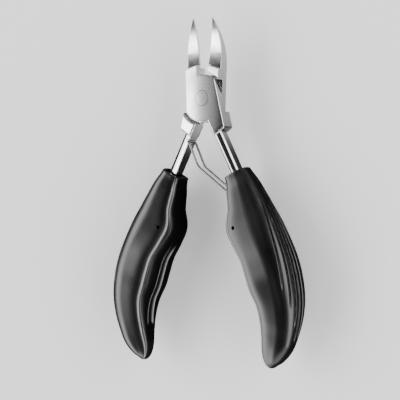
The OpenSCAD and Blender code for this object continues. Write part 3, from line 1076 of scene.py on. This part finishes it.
    def _mouth_rings(self, first: np.ndarray) -> np.ndarray:
        """Rounded collar edge, flat mouth and the recess round the shank.

        The collar's edge is a quarter circle. The recess is a rounded rectangle met by each point
        of the ring along its own direction.

        Args:
            first: The ring just below the collar's rounding, in the frame of the shank.

        Returns:
            Rings from the recess floor out and up to the collar.
        """
        form = self.form
        flat = first[:, [0, 2]]
        reach = np.linalg.norm(flat, axis=1, keepdims=True)
        way = flat / reach
        rings = []
        for turn in np.radians(np.linspace(90, 0, self.collar_rings + 1)[1:]):
            shrink = form.collar_edge * (1 - math.cos(math.radians(90) - turn))
            drop = form.collar_edge * (1 - math.cos(turn))
            edge = way * (reach - shrink)
            rings.append(np.column_stack([edge[:, 0], np.full(len(edge), -drop), edge[:, 1]]))
        half = np.array([self.shank_w / 2 + self.recess_gap, self.shank_t / 2 + self.recess_gap])
        power = self.recess_power
        box = way / (np.abs(way / half) ** power).sum(1, keepdims=True) ** (1 / power)
        recess = ((0.0, self.recess_flare), (self.recess_lead, 1.0), (self.recess_depth, 1.0))
        for depth, grow in recess:
            rings.append(np.column_stack([box[:, 0] * grow, np.full(len(box), -depth), box[:, 1] * grow]))
        return np.stack(rings[::-1])

    def shell(self) -> bpy.types.Object:
        """Builds the moulded shell.

        Returns:
            The shell.
        """
        form = self.form
        s = self._stations_down()
        inside = (s >= form.pad_top - 1e-3) & (s <= form.pad_end + 1e-3)
        across, up = mirrored_ring(*self._upper_half(s, np.where(inside, form.pad_t, 0.0)))
        body = form.on_spine(s, across, up)
        mouth = self._mouth_rings(body[0])
        points, faces = skin_of(np.concatenate([mouth, body]))
        # painted highlight along the seam ridge, easing in below the collar
        crest = self._crest(across.shape[1]) * ease((s - self.highlight_from) / self.highlight_fade)
        painted_highlight = np.concatenate([np.zeros(mouth.shape[:2]), crest]).ravel()
        obj = mesh_of(
            f"{self.side.word}_grip_shell", form.to_row(points, self.side), faces, np.append(painted_highlight, [0, 0])
        )
        cutters = [self._rod("pin_hole", form.thickness)]
        if self.side is Side.RIGHT:
            cutters.append(self._block("spring_slot", -self.slot_in, (form.pad_top, self.slot_end)))
        carve(obj, cutters, self.shell_crisp)
        obj.data.materials.append(self.shell_finish)
        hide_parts(f"{self.side.word}_grip")
        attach(obj, self.side.body)
        return obj

    def _rod(self, name: str, length: float) -> bpy.types.Object:
        """Closed cylinder through the grip on the cross pin's axis.

        Args:
            name: Name of the object.
            length: Reach above and below the middle.

        Returns:
            The cylinder.
        """
        circle = unit_circle(self.pin_sides) * self.pin_d / 2
        ends = np.array([[[-self.pin_in, -self.pin_down, z]] for z in (-length, length)])
        points, faces = skin_of(circle + ends)
        return mesh_of(name, self.form.to_row(points, self.side), faces)

    def _block(self, name: str, inner_x: float, down: tuple[float, float]) -> bpy.types.Object:
        """Closed block on the finger side that the spring's legs pass through.

        Args:
            name: Name of the object.
            inner_x: How far in it reaches.
            down: Where it starts and ends down the grip.

        Returns:
            The block.
        """
        reach, half = 2 * self.form.bump_reach, self.slot_half
        corners = np.array([[-reach, -half], [inner_x, -half], [inner_x, half], [-reach, half]])
        rings = np.stack([np.column_stack([corners[:, 0], np.full(4, -y), corners[:, 1]]) for y in down])
        points, faces = skin_of(rings)
        return mesh_of(name, self.form.to_row(points, self.side), faces)

    def pad(self) -> bpy.types.Object:
        """Builds the inner pad: a crowned panel with rounded edges and its finger channel.

        The face follows the finger side. The channel is a flat-bottomed dip across the middle
        with rounded brows, easing out at both ends. The edge is a quarter circle, and the back
        lies one thickness behind the face.

        Returns:
            The pad.
        """
        form = self.form
        ends = form.pad_top + self.end_play, form.pad_end - self.end_play
        s = np.linspace(*ends, round((ends[1] - ends[0]) / self.ring_step))[:, None]
        edge = form.lip_z(s) - form.pad_play
        radius = np.minimum(self.pad_edge_r, edge / 3)
        flat_up = np.linspace(0, 1, self.face_columns)[None, :] * (edge - radius)
        middle = form.channel_w / 2
        dip = form.channel_depth * (1 - ease((flat_up - middle + self.brow) / self.brow))
        channel_end = form.pad_end - form.channel_tail
        run = ease((s - form.channel_top) / form.groove_fade)
        run = run * ease((channel_end - s) / self.channel_end_fade)
        turn = np.radians(np.linspace(0, 90, self.edge_rings + 1)[None, 1:])
        edge_up = edge - radius + radius * np.sin(turn)
        edge_in = radius * (1 - np.cos(turn))
        back_up = edge * np.array(self.back_shares)
        up = np.concatenate([flat_up, edge_up, back_up], axis=1)
        back_in = np.full_like(back_up, form.pad_t - form.pad_play)
        sink = np.concatenate([dip * run, edge_in, back_in], axis=1)
        across = form.inside - form.finger_side(s, up) + sink
        # painted highlight along the channel's brows
        brows = np.exp(-(((up - middle) / self.brow_highlight) ** 2)) * run
        painted_highlight, _ = mirrored_ring(brows * (sink < form.pad_t / 2), up)
        points, faces = skin_of(form.on_spine(s, *mirrored_ring(across, up)))
        obj = mesh_of(
            f"{self.side.word}_pad_panel",
            form.to_row(points, self.side),
            faces,
            np.append(painted_highlight.ravel(), [0, 0]),
        )
        if self.side is Side.RIGHT:
            carve(obj, [self._block("spring_window", 0.0, self.window)], self.pad_crisp)
        else:
            sharpen(obj, self.pad_crisp)
        obj.data.materials.append(self.pad_finish)
        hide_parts(f"{self.side.word}_inner_pad")
        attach(obj, self.side.body)
        return obj

    def build(self) -> list[bpy.types.Object]:
        """Builds shell and pad, and gives the solid pin its finish.

        Returns:
            The three pieces.
        """
        pin = frame["nodes"][f"{self.side.word}_grip_pin"]
        dress(pin, self.pin_finish)
        return [self.shell(), self.pad(), pin]


def dress(obj: bpy.types.Object, finish: bpy.types.Material) -> None:
    """Gives an object one finish in place of what it had."""
    obj.data.materials.clear()
    obj.data.materials.append(finish)


# ---- Levers and rivet ----


@dataclass
class LapLevers:
    """The two lapped levers, as their solids with rounded edges, and the flush rivet."""

    finish: dict[str, bpy.types.Material]
    rivet_finish: bpy.types.Material
    form: GripForm
    edge: float = 0.8
    crown: float = 0.0085
    crown_from: float = 8.0
    plate_top: float = 13.4
    edge_angle: float = 24.0
    jaw_share: float = 0.35
    lap_share: float = 0.1
    shank_share: float = 0.4
    neck_from: float = 14.0
    tip_from: float = 24.0
    tip_to: float = 36.0
    shank_from: float = 12.6
    shank_round_r: float = 3.3
    shank_round_x: float = -1.2
    head_r: float = 3.6
    half_lap: float = 3.7
    chamfer: float = 0.1
    dome: float = 0.01
    waist_r: float = 2.3
    waist_from: float = 1.3
    rivet_sides: int = 128
    dome_rings: int = 9
    rivet_crisp: float = 30.0
    merge: float = 0.000002
    flat_angle: float = 0.4
    crisp: float = 40.0
    bevel_steps: int = 4
    outline_play: float = 0.1
    tip_fade: float = 0.85
    hole_play: float = 0.2
    shank_bend: float = 60.0
    cut_from: float = 1.0
    cut_pitch: float = 2.0
    plate_band: float = 1.2
    plate_facing: float = 0.2
    plate_play: float = 0.45
    mouth_play: float = 1.0
    inner_facing: float = -0.3
    end_facing: float = 0.5
    cut_play: float = 0.02

    def _edge_shares(self, ends: np.ndarray, bend: np.ndarray, side: Side) -> np.ndarray:
        """How far each edge is rounded, as a share of the widest rounding.

        Outlines of the front and back get the full width, which fades out towards the jaw tip.
        Edges inside the lap and the inner edges of the shank get less. The rivet's hole and the
        lines of the rounded outer side of the shank stay as they are.

        Args:
            ends: Edge by end by coordinate, in metres.
            bend: Angle between the faces at each edge, in degrees.
            side: Side of the lever's shank.

        Returns:
            Share from 0 to 1 for each edge.
        """
        about = (ends - PIVOT) / MM
        about[..., 0] *= side.value
        shut = turned(about, -self.form.half_open)
        shank = turned(about, -self.form.half_open - self.form.shank_angle)
        reach = shut[..., 1].max(1)
        outline = np.abs(shut[..., 2]).min(1) > self.half_lap - self.outline_play
        share = np.where(outline & (reach < self.neck_from), 1.0, self.lap_share)
        share[reach > self.neck_from] = self.jaw_share
        share *= 1 - self.tip_fade * ease((reach - self.tip_from) / (self.tip_to - self.tip_from))
        share[np.hypot(shut[..., 0], shut[..., 1]).max(1) < self.head_r + self.hole_play] = 0
        along = (shank[..., 1].max(1) < -self.shank_from) & ~outline
        share[along] = np.where(bend[along] > self.shank_bend, self.shank_share, 0)
        share[bend < self.edge_angle] = 0
        return share

    def _cross_cut(self, work: bmesh.types.BMesh, side: Side) -> None:
        """Divides the shank's faces crosswise, and lengthwise where its top starts to round off.

        Args:
            work: Mesh of the lever.
            side: Side of its shank.
        """
        turn = self.form.half_open + self.form.shank_angle
        down, out = (turned(np.array(v, float), turn) * [side.value, 1] for v in ((0, -1), (1, 0)))
        down, out, pivot = Vector((*down, 0)), Vector((*out, 0)), Vector(PIVOT)
        places = np.arange(self.shank_from + self.cut_from, self.form.mouth, self.cut_pitch)
        cuts = [(pivot + down * d * MM, down) for d in places]
        cuts.append((pivot + out * self.shank_round_x * MM, out))
        for spot, way in cuts:
            low = {v for v in work.verts if (v.co - pivot).dot(down) > self.shank_from * MM}
            faces = [f for f in work.faces if way is down or low.issuperset(f.verts)]
            edges = {e for f in faces for e in f.edges}
            corners = {v for f in faces for v in f.verts}
            geom = [*corners, *edges, *faces]
            bmesh.ops.bisect_plane(work, geom=geom, dist=WELD, plane_co=spot, plane_no=way)

    def _crowned(self, about: np.ndarray, normal: np.ndarray, front: float) -> np.ndarray:
        """Leans the normals of one plate as if it had been buffed round.

        The lean grows with the distance from the plate's outer edge, and a normal takes it by the
        share that it faces forwards or backwards.

        Args:
            about: Corners measured from the pivot, in millimetres.
            normal: Their normals.
            front: 1 for the front plate, -1 for the back one.

        Returns:
            The leaned normals.
        """
        high = about[:, 2] * front > self.half_lap - self.plate_band
        on_plate = high & (normal[:, 2] * front > self.plate_facing)
        lean = self.crown * (about[:, 0] + front * self.crown_from)
        out = normal.copy()
        out[:, 0] += np.where(on_plate, lean * np.abs(normal[:, 2]), 0)
        return out / np.linalg.norm(out, axis=1, keepdims=True)

    def _lay_normals(self, obj: bpy.types.Object, side: Side) -> None:
        """Crowns the plate, and shades the flat top of the shank smoothly into its rounded side.

        Corners of the shank's faces away from its inner side take the normal of the rounding's
        circle, whose sine is the distance from the circle's axis over its radius.

        Args:
            obj: The lever.
            side: Side of its shank.
        """
        at, normal = self._corners(obj)
        size = read_all(obj.data.polygons, "loop_total", kind=np.int32)
        facing = np.repeat(read_all(obj.data.polygons, "normal", 3), size, axis=0).astype(float)
        shut_y = turned(at * [side.value, 1, 1], -self.form.half_open)[:, 1]
        crowned = self._crowned(at, normal, float(side.value))
        crowned = np.where((shut_y < self.plate_top)[:, None], crowned, normal)
        turn = self.form.half_open + self.form.shank_angle
        for array in (at, facing):
            array[:, 0] *= side.value
            array[:] = turned(array, -turn)
        sine = np.clip((at[:, 0] - self.shank_round_x) / self.shank_round_r, 0, 1)
        cosine = np.sqrt(1 - sine**2) * np.sign(at[:, 2])
        rounded = turned(np.column_stack([sine, np.zeros_like(sine), cosine]), turn)
        rounded[:, 0] *= side.value
        below_plate = np.abs(at[:, 2]) < self.half_lap - self.plate_play
        mouth = self.form.mouth + self.mouth_play
        run = (at[:, 1] < -self.shank_from) & (at[:, 1] > -mouth) & below_plate
        outer = run & (facing[:, 0] > self.inner_facing) & (np.abs(facing[:, 1]) < self.end_facing)
        outer &= at[:, 0] > self.shank_round_x - self.cut_play
        obj.data.normals_split_custom_set(np.where(outer[:, None], rounded, crowned).tolist())

    @staticmethod
    def _corners(obj: bpy.types.Object) -> tuple[np.ndarray, np.ndarray]:
        """Face corners of a piece.

        Args:
            obj: The piece.

        Returns:
            The corners, in millimetres from the pivot, and their normals.
        """
        corner = read_all(obj.data.loops, "vertex_index", kind=np.int32)
        normal = read_all(obj.data.corner_normals, "vector", 3).astype(float)
        return (read_all(obj.data.vertices, "co", 3)[corner] - PIVOT) / MM, normal

    def lever(self, node: str) -> bpy.types.Object:
        """One lever: a merged copy of its solid with its edges rounded.

        Args:
            node: Name of the lever's node.

        Returns:
            The lever.
        """
        side = Side.RIGHT if node == "front_lever" else Side.LEFT
        obj = bpy.data.objects.new(f"{node}_polished", frame["nodes"][node].data.copy())
        bpy.context.scene.collection.objects.link(obj)
        work = bmesh.new()
        work.from_mesh(obj.data)
        bmesh.ops.remove_doubles(work, verts=work.verts, dist=self.merge)
        flat = math.radians(self.flat_angle)
        bmesh.ops.dissolve_limit(
            work, angle_limit=flat, verts=work.verts, edges=work.edges, delimit={"NORMAL"}
        )
        bmesh.ops.recalc_face_normals(work, faces=work.faces)
        self._cross_cut(work, side)
        bend = np.degrees([edge.calc_face_angle(0) for edge in work.edges])
        work.to_mesh(obj.data)
        work.free()
        pairs = read_all(obj.data.edges, "vertices", 2, np.int32)
        ends = read_all(obj.data.vertices, "co", 3).astype(float)[pairs]
        weight = obj.data.attributes.new("bevel_weight_edge", "FLOAT", "EDGE")
        weight.data.foreach_set("value", self._edge_shares(ends, bend, side).astype(np.float32))
        sharpen(obj, self.crisp)
        bevel = obj.modifiers.new("soft_edges", "BEVEL")
        bevel.width, bevel.segments = self.edge * MM, self.bevel_steps
        bevel.limit_method = "WEIGHT"
        bevel.use_clamp_overlap = False
        settle(obj)
        sharpen(obj, self.crisp)
        weigh = obj.modifiers.new("flats_lead", "WEIGHTED_NORMAL")
        weigh.keep_sharp = True
        settle(obj)
        self._lay_normals(obj, side)
        dress(obj, self.finish[node])
        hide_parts(node)
        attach(obj, side.body)
        return obj

    def rivet(self) -> bpy.types.Object:
        """The flush rivet: a lathed shank and two nearly flat heads with a fine chamfer round each.

        The profile is turned round Z: a shallow dome, the chamfer, and a cone down to the waist.

        Returns:
            The rivet.
        """
        h, r = self.half_lap, self.head_r
        shares = np.linspace(0, 1, self.dome_rings)
        crown = [(r - self.chamfer) * shares, h + self.dome * (1 - shares**2)]
        upper = np.column_stack(crown)[1:]
        side = [[r, h - self.chamfer], [self.waist_r, h - self.waist_from]]
        profile = np.concatenate([upper, side])
        profile = np.concatenate([profile, profile[::-1] * [1, -1]])
        rings = profile[:, None, :1] * unit_circle(self.rivet_sides)
        rings[..., 2] = profile[:, 1:]
        points, faces = skin_of(rings)
        obj = mesh_of("pivot_rivet_polished", points * MM + PIVOT, faces)
        sharpen(obj, self.rivet_crisp)
        about, normals = self._corners(obj)
        for front in (1.0, -1.0):
            normals = self._crowned(about, normals, front)
        obj.data.normals_split_custom_set(normals.tolist())
        dress(obj, self.rivet_finish)
        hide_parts("pivot_rivet")
        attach(obj, "front_half")
        return obj

    def build(self) -> list[bpy.types.Object]:
        """Builds both levers and the rivet."""
        return [self.lever("front_lever"), self.lever("rear_lever"), self.rivet()]


# ---- Spring ----


@dataclass
class HairpinSpring:
    """The return spring: two legs joined by a bow, hooked round the right grip's pin."""

    form: GripForm
    finish: bpy.types.Material
    wire_d: float = 1.1
    leg_pitch: float = 5.2
    bow_corner: float = 1.1
    bow_down: float = 21.0
    bow_in: float = 2.1
    leave_angle: float = 66.0
    entry_angle: float = 36.0
    entry_down: float = 7.0
    leg_in: float = 7.32
    pin_down: float = 23.5
    pin_in: float = 8.8
    bend_r: float = 7.0
    entry_r: float = 4.0
    hook_turn: float = 200.0
    sides: int = 24
    hook_points: int = 28
    bend_points: int = 16
    entry_points: int = 10
    bow_points: int = 10
    ring_step: float = 0.7
    least_step: float = 0.0001
    least_level: float = 0.05
    bends_from: float = 1.0
    bends_to: float = 2.0

    def _by_shank(self, inwards: float, down: float, side: Side) -> np.ndarray:
        """A point by its distance inwards from a shank's line and down from the pivot."""
        point = turned(np.array([-inwards, -down]), self.form.shank_angle + self.form.half_open)
        return point * np.array([side.value, 1])

    @staticmethod
    def _corner(a: np.ndarray, b: np.ndarray, c: np.ndarray, r: float, n: int) -> np.ndarray:
        """Arc that rounds the corner between two lines.

        Args:
            a: Point on the first line.
            b: The corner.
            c: Point on the second line.
            r: Radius of the arc.
            n: Steps along the arc.

        Returns:
            The arc's points.
        """
        u, v = (a - b) / np.linalg.norm(a - b), (c - b) / np.linalg.norm(c - b)
        half = math.acos(float(u @ v)) / 2
        middle = b + (u + v) / np.linalg.norm(u + v) * r / math.sin(half)
        start, end = b + u * r / math.tan(half) - middle, b + v * r / math.tan(half) - middle
        sweep = math.pi - 2 * half
        turn_way = math.copysign(1, start[0] * end[1] - start[1] * end[0])
        turns = [math.degrees(turn_way * sweep * k / n) for k in range(n + 1)]
        return np.stack([middle + turned(start, turn) for turn in turns])

    @staticmethod
    def _heading(degrees: float) -> np.ndarray:
        """Direction in the plane, turned from +X towards -Y."""
        angle = math.radians(degrees)
        return np.array([math.cos(angle), -math.sin(angle)])

    def centre_line(self) -> np.ndarray:
        """Line of the wire, from one hook over the bow to the other.

        Each leg runs straight from the bow, turns twice on arcs and ends in an arc round the pin.
        The bow is a straight bar with a quarter circle at each end.

        Returns:
            Points about the pivot, in millimetres.
        """
        bow = self._by_shank(self.bow_in, self.bow_down, Side.LEFT)
        leave, enter = self._heading(self.leave_angle), self._heading(self.entry_angle)
        entry = self._by_shank(self.leg_in, self.form.mouth + self.entry_down, Side.RIGHT)
        gap = entry - bow
        along = (gap[0] * enter[1] - gap[1] * enter[0]) / (leave[0] * enter[1] - leave[1] * enter[0])
        bend = bow + leave * along
        pin = self._by_shank(self.pin_in, self.form.mouth + self.pin_down, Side.RIGHT)
        arm = self._by_shank(self.leg_in, 0, Side.RIGHT) - self._by_shank(self.pin_in, 0, Side.RIGHT)
        hook_turns = np.linspace(0, self.hook_turn, self.hook_points)
        hook = np.stack([pin + turned(arm, a) for a in hook_turns])
        leg = np.concatenate(
            [
                [bow + leave * self.bow_corner],
                self._corner(bow, bend, entry, self.bend_r, self.bend_points),
                self._corner(bend, entry, hook[0], self.entry_r, self.entry_points),
                hook,
            ]
        )
        half = self.leg_pitch / 2
        turns = np.radians(np.linspace(0, 90, self.bow_points + 1))[1:]
        down_leg = self.bow_corner * (1 - np.sin(turns))
        bow_xy = bow + leave * down_leg[:, None]
        bow_z = half - self.bow_corner + self.bow_corner * np.cos(turns)
        straight = np.column_stack([leg[::-1], np.full(len(leg), half)])
        upper = np.concatenate([straight, np.column_stack([bow_xy, bow_z])])
        return np.concatenate([upper, upper[::-1] * [1, 1, -1]])

    def build(self) -> list[bpy.types.Object]:
        """Sweeps the wire along its centre line.

        Each ring is a circle square to the line. Its first direction is level and square to the
        line, and keeps to one side over the bow, so the drawing marks run straight.

        Returns:
            The wire, alone in a list.
        """
        line = self.centre_line()
        step = np.linalg.norm(np.diff(line, axis=0), axis=1)
        line = line[np.concatenate([[True], step > self.least_step])]
        run = np.concatenate([[0], np.cumsum(np.linalg.norm(np.diff(line, axis=0), axis=1))])
        even = np.unique(np.concatenate([run, np.arange(0, run[-1], self.ring_step)]))
        line = np.column_stack([np.interp(even, run, line[:, k]) for k in range(3)])
        way = np.gradient(line, axis=0)
        way /= np.linalg.norm(way, axis=1, keepdims=True)
        flat = np.cross(way, [0.0, 0.0, 1.0]) * np.where(line[:, 2:] < 0, -1.0, 1.0)
        size = np.linalg.norm(flat, axis=1, keepdims=True)
        leave = math.radians(self.leave_angle)
        steady = np.array([math.sin(leave), math.cos(leave), 0.0])
        across = np.where(size > self.least_level, flat / np.maximum(size, WELD), steady)
        other = np.cross(way, across)
        turns = np.linspace(0, 2 * np.pi, self.sides, endpoint=False)
        r = self.wire_d / 2
        ring = across[:, None] * np.cos(turns)[:, None] + other[:, None] * np.sin(turns)[:, None]
        points, faces = skin_of(line[:, None] + r * ring)
        obj = mesh_of("return_spring_wire", points * MM + PIVOT, faces)
        self._lay_out(obj, line, turns)
        dress(obj, self.finish)
        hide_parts("return_spring")
        hinge_end = self._by_shank(self.leg_in, self.form.mouth + self.bends_from, Side.RIGHT)
        bow_end = self._by_shank(0.0, self.bow_down + self.bends_to, Side.LEFT)
        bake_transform(obj)
        return [obj]

    @staticmethod
    def _lay_out(obj: bpy.types.Object, line: np.ndarray, turns: np.ndarray) -> None:
        """Gives the wire a UV map.

        u is the share of half a turn round the wire, up and back down, so it has no seam. v is
        the distance along it in millimetres.

        Args:
            obj: The swept wire, whose points run ring by ring.
            line: Its centre line.
            turns: Angles of a ring's points.
        """
        run = np.concatenate([[0], np.cumsum(np.linalg.norm(np.diff(line, axis=0), axis=1))])
        v = np.append(np.repeat(run, len(turns)), [run[0], run[-1]])
        u = np.append(np.tile(np.abs(turns / np.pi - 1), len(line)), [0.5, 0.5])
        layer = obj.data.uv_layers.new(name="along")
        corner = read_all(obj.data.loops, "vertex_index", kind=np.int32)
        uv = np.column_stack([u[corner], v[corner]]).astype(np.float32)
        layer.data.foreach_set("uv", uv.ravel())


# ---- Studio ----


@dataclass(frozen=True)
class Softbox:
    """A soft light far away, as a soft-edged patch of the surroundings.

    Attributes:
        across: Angle from straight up towards +X, in degrees.
        along: Angle towards +Y, in degrees.
        half_across: Half width towards the sides, as a tangent.
        half_along: Half width towards +Y and -Y, as a tangent.
        soft: Width of the soft edge, as a tangent.
        strength: Brightness.
    """

    across: float
    along: float
    half_across: float
    half_along: float
    soft: float
    strength: float

    def axes(self) -> tuple[Vector, Vector, Vector]:
        """Directions of the patch.

        Returns:
            Direction of the middle, and the two directions across it.
        """
        a, t = math.radians(self.across), math.radians(self.along)
        middle = Vector((math.sin(a) * math.cos(t), math.sin(t), math.cos(a) * math.cos(t)))
        sideways = Vector((math.cos(a), 0, -math.sin(a)))
        return middle, sideways, middle.cross(sideways)


@dataclass
class Studio:
    """Plain pale floor, plain soft light and the camera at the photographed angle."""

    view_angle: float = 35.0
    distance: float = 0.74
    pixel: float = 0.000458
    pivot_x_px: float = 206.3
    pivot_y_px: float = 98.9
    frame_px: float = 400.0
    sensor: float = 36.0
    floor_size: float = 6.0
    # wide ones at both sides, the small bright one that the head mirrors with its soft foot,
    # one past the jaws and one past the grips, and two faint ones overhead
    boxes: tuple[Softbox, ...] = (
        Softbox(-62, -3, 0.26, 1.0, 0.42, 9.0),
        Softbox(-36, 0.8, 0.08, 0.064, 0.13, 14.0),
        Softbox(-29, 3, 0.16, 0.1, 0.16, 0.8),
        Softbox(72, 0, 0.28, 1.0, 0.28, 8.5),
        Softbox(0, 66, 0.8, 0.3, 0.4, 0.5),
        Softbox(0, -70, 0.8, 0.3, 0.4, 3.5),
        Softbox(0, -8, 0.14, 0.24, 0.1, 0.6),
        Softbox(-14, 40, 0.3, 0.3, 0.16, 0.6),
    )
    ambient: float = 0.03
    seen: float = 0.82
    pale: float = 0.93
    mirrored: float = 0.85
    glow: float = 0.27
    # painted shade in the floor that only reflections show, beside the grips
    floor_shade_tone: float = 0.05
    floor_shade_from: float = 0.0
    floor_shade_to: float = 0.036
    floor_rough: float = 0.9
    floor_gloss: float = 0.1

    def camera(self) -> None:
        """Sets the camera over the nipper, turned from straight above towards +X.

        Its middle ray passes through the point of the pivot's plane that the middle pixel shows.
        """
        turn = math.radians(self.view_angle)
        half = self.frame_px / 2
        aim = PIVOT + np.array(
            [
                -(self.pivot_x_px - half) * self.pixel / math.cos(turn),
                -(half - self.pivot_y_px) * self.pixel,
                0.0,
            ]
        )
        data = bpy.data.cameras.new("camera")
        data.sensor_width = self.sensor
        data.lens = self.sensor * self.distance / (self.frame_px * self.pixel)
        camera = bpy.data.objects.new("camera", data)
        bpy.context.scene.collection.objects.link(camera)
        back = np.array([math.sin(turn), 0, math.cos(turn)])
        camera.location = tuple(aim + back * self.distance)
        camera.rotation_euler = (0, turn, 0)
        bpy.context.scene.camera = camera

    def floor(self) -> None:
        """Plain pale floor under the nipper."""
        half = self.floor_size / 2
        corners = np.array([[-half, -half, 0], [half, -half, 0], [half, half, 0], [-half, half, 0]])
        mesh = bpy.data.meshes.new("floor")
        mesh.from_pydata(corners.tolist(), [], [(0, 1, 2, 3)])
        obj = bpy.data.objects.new("floor", mesh)
        bpy.context.scene.collection.objects.link(obj)
        dress(obj, self._floor_finish())

    def _floor_finish(self) -> bpy.types.Material:
        """Pale matt floor with a faint glow, which keeps its tone even.

        What the nipper mirrors carries painted shade: pale beside the jaws and dark beside the grips, as
        over a card.

        Returns:
            The material.
        """
        material, make, shader = new_material("pale_floor")
        spot = make.add("ShaderNodeSeparateXYZ")
        make.join(make.add("ShaderNodeTexCoord").outputs["Object"], spot.inputs[0])
        slant = make.maths("SUBTRACT", spot.outputs["Y"], make.maths("ABSOLUTE", spot.outputs["X"]))
        # painted shade: for rays that are not the camera's, the floor is dark beside the grips
        floor_shade = make.spread(slant, self.floor_shade_from, self.floor_shade_to, self.floor_shade_tone, self.mirrored)
        mix = make.add("ShaderNodeMix", data_type="FLOAT")
        sight = make.add("ShaderNodeLightPath").outputs["Is Camera Ray"]
        make.join(sight, mix.inputs["Factor"])
        make.join(floor_shade, mix.inputs["A"])
        mix.inputs["B"].default_value = self.pale
        make.join(make.grey(mix.outputs["Result"]), shader.inputs["Base Color"])
        make.join(make.maths("MULTIPLY", sight, self.glow), shader.inputs["Emission Strength"])
        shader.inputs["Emission Color"].default_value = (1, 1, 1, 1)
        shader.inputs["Roughness"].default_value = self.floor_rough
        shader.inputs["Specular IOR Level"].default_value = self.floor_gloss
        return material

    @staticmethod
    def _softbox_group() -> bpy.types.NodeTree:
        """Mask of one softbox: both tangents from its middle inside their soft-edged limits.

        Returns:
            A group with the direction looked in, the softbox's axes and sizes, and output Mask.
        """
        inputs = {name: (VECTOR, (0, 0, 1)) for name in ("Direction", "Middle", "Across", "Along")}
        inputs |= {name: (FLOAT, 0.5) for name in ("Half across", "Half along", "Soft")}
        make, given, out = new_group("softbox", inputs, {"Mask": FLOAT})
        ahead = make.dot(given.outputs["Direction"], given.outputs["Middle"])
        least = 0.001
        safe = make.maths("MAXIMUM", ahead, least)
        masks = [make.maths("GREATER_THAN", ahead, least)]
        for axis, half in (("Across", "Half across"), ("Along", "Half along")):
            side = make.dot(given.outputs["Direction"], given.outputs[axis])
            tangent = make.maths("ABSOLUTE", make.maths("DIVIDE", side, safe))
            outside = make.maths("SUBTRACT", tangent, given.outputs[half])
            beyond = make.maths("DIVIDE", outside, given.outputs["Soft"])
            masks.append(make.spread(beyond, -0.5, 0.5, 1.0, 0.0))
        both = make.maths("MULTIPLY", masks[1], masks[2])
        make.join(make.maths("MULTIPLY", both, masks[0]), out.inputs["Mask"])
        return make.tree

    def surroundings(self) -> None:
        """Soft studio surroundings: softboxes in a dim room. The camera sees a plain pale tone."""
        world = bpy.data.worlds.new("studio")
        world.use_nodes = True
        make = NodeMaker(world.node_tree)
        world.node_tree.nodes.clear()
        group = self._softbox_group()
        direction = make.add("ShaderNodeTexCoord").outputs["Generated"]
        total: bpy.types.NodeSocket | float = self.ambient
        for box in self.boxes:
            node = placed_group(make, group)
            make.join(direction, node.inputs["Direction"])
            for name, axis in zip(("Middle", "Across", "Along"), box.axes()):
                node.inputs[name].default_value = axis
            node.inputs["Half across"].default_value = box.half_across
            node.inputs["Half along"].default_value = box.half_along
            node.inputs["Soft"].default_value = box.soft
            total = make.maths("ADD", make.maths("MULTIPLY", node.outputs["Mask"], box.strength), total)
        sight = make.add("ShaderNodeLightPath").outputs["Is Camera Ray"]
        mix = make.add("ShaderNodeMix", data_type="FLOAT")
        make.join(sight, mix.inputs["Factor"])
        make.join(total, mix.inputs["A"])
        mix.inputs["B"].default_value = self.seen
        background = make.add("ShaderNodeBackground")
        make.join(mix.outputs["Result"], background.inputs["Strength"])
        output = make.add("ShaderNodeOutputWorld")
        make.join(background.outputs[0], output.inputs["Surface"])
        bpy.context.scene.world = world

    def build(self) -> None:
        """Camera, floor and light."""
        self.camera()
        self.floor()
        self.surroundings()


def main() -> None:
    """Builds the nipper's pieces in order and reports each."""
    logging.basicConfig(level=logging.INFO, format="%(name)s: %(message)s")
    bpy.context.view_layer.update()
    Studio().build()
    groups = Groups.built()
    form = GripForm()
    finishes = {
        finish.name: finish.material(groups)
        for finish in (
            MouldedPlastic(
                "black_shell", (0.002, 0.002, 0.0022), rough=0.3, sway=0.04, relief=0.000008, coat=0.1
            ),
            MouldedPlastic(
                "black_pad", (0.0015, 0.0015, 0.0016), rough=0.36, sway=0.05, relief=0.00001, gloss=0.22
            ),
            # nearly black pin steel: painted shade that darkens the pin holes
            PolishedSteel("pin_painted_shade", grey=0.02, rough_away=0.5, rough_head=0.5),
            PolishedSteel("front_lever_steel", lines_turn=8),
            PolishedSteel("rear_lever_steel", lines_turn=-8),
            # the rivet's rim takes painted shade
            PolishedSteel("rivet_steel", lines_turn=40, shade_from=0.00496),
            DrawnWire("spring_wire", grey=0.24, rough=0.2),
        )
    }
    grip_finishes = [finishes[name] for name in ("black_shell", "black_pad", "pin_painted_shade")]
    lever_finishes = {node: finishes[f"{node}_steel"] for node in ("front_lever", "rear_lever")}
    parts: list[MouldedGrip | LapLevers | HairpinSpring] = [
        MouldedGrip(Side.RIGHT, form, *grip_finishes),
        MouldedGrip(Side.LEFT, form, *grip_finishes),
        LapLevers(lever_finishes, finishes["rivet_steel"], form),
        HairpinSpring(form, finishes["spring_wire"]),
    ]
    for part in parts:
        for piece in part.build():
            LOG.info("%s: %d faces", piece.name, len(piece.data.polygons))


if __name__ == "__main__":
    main()
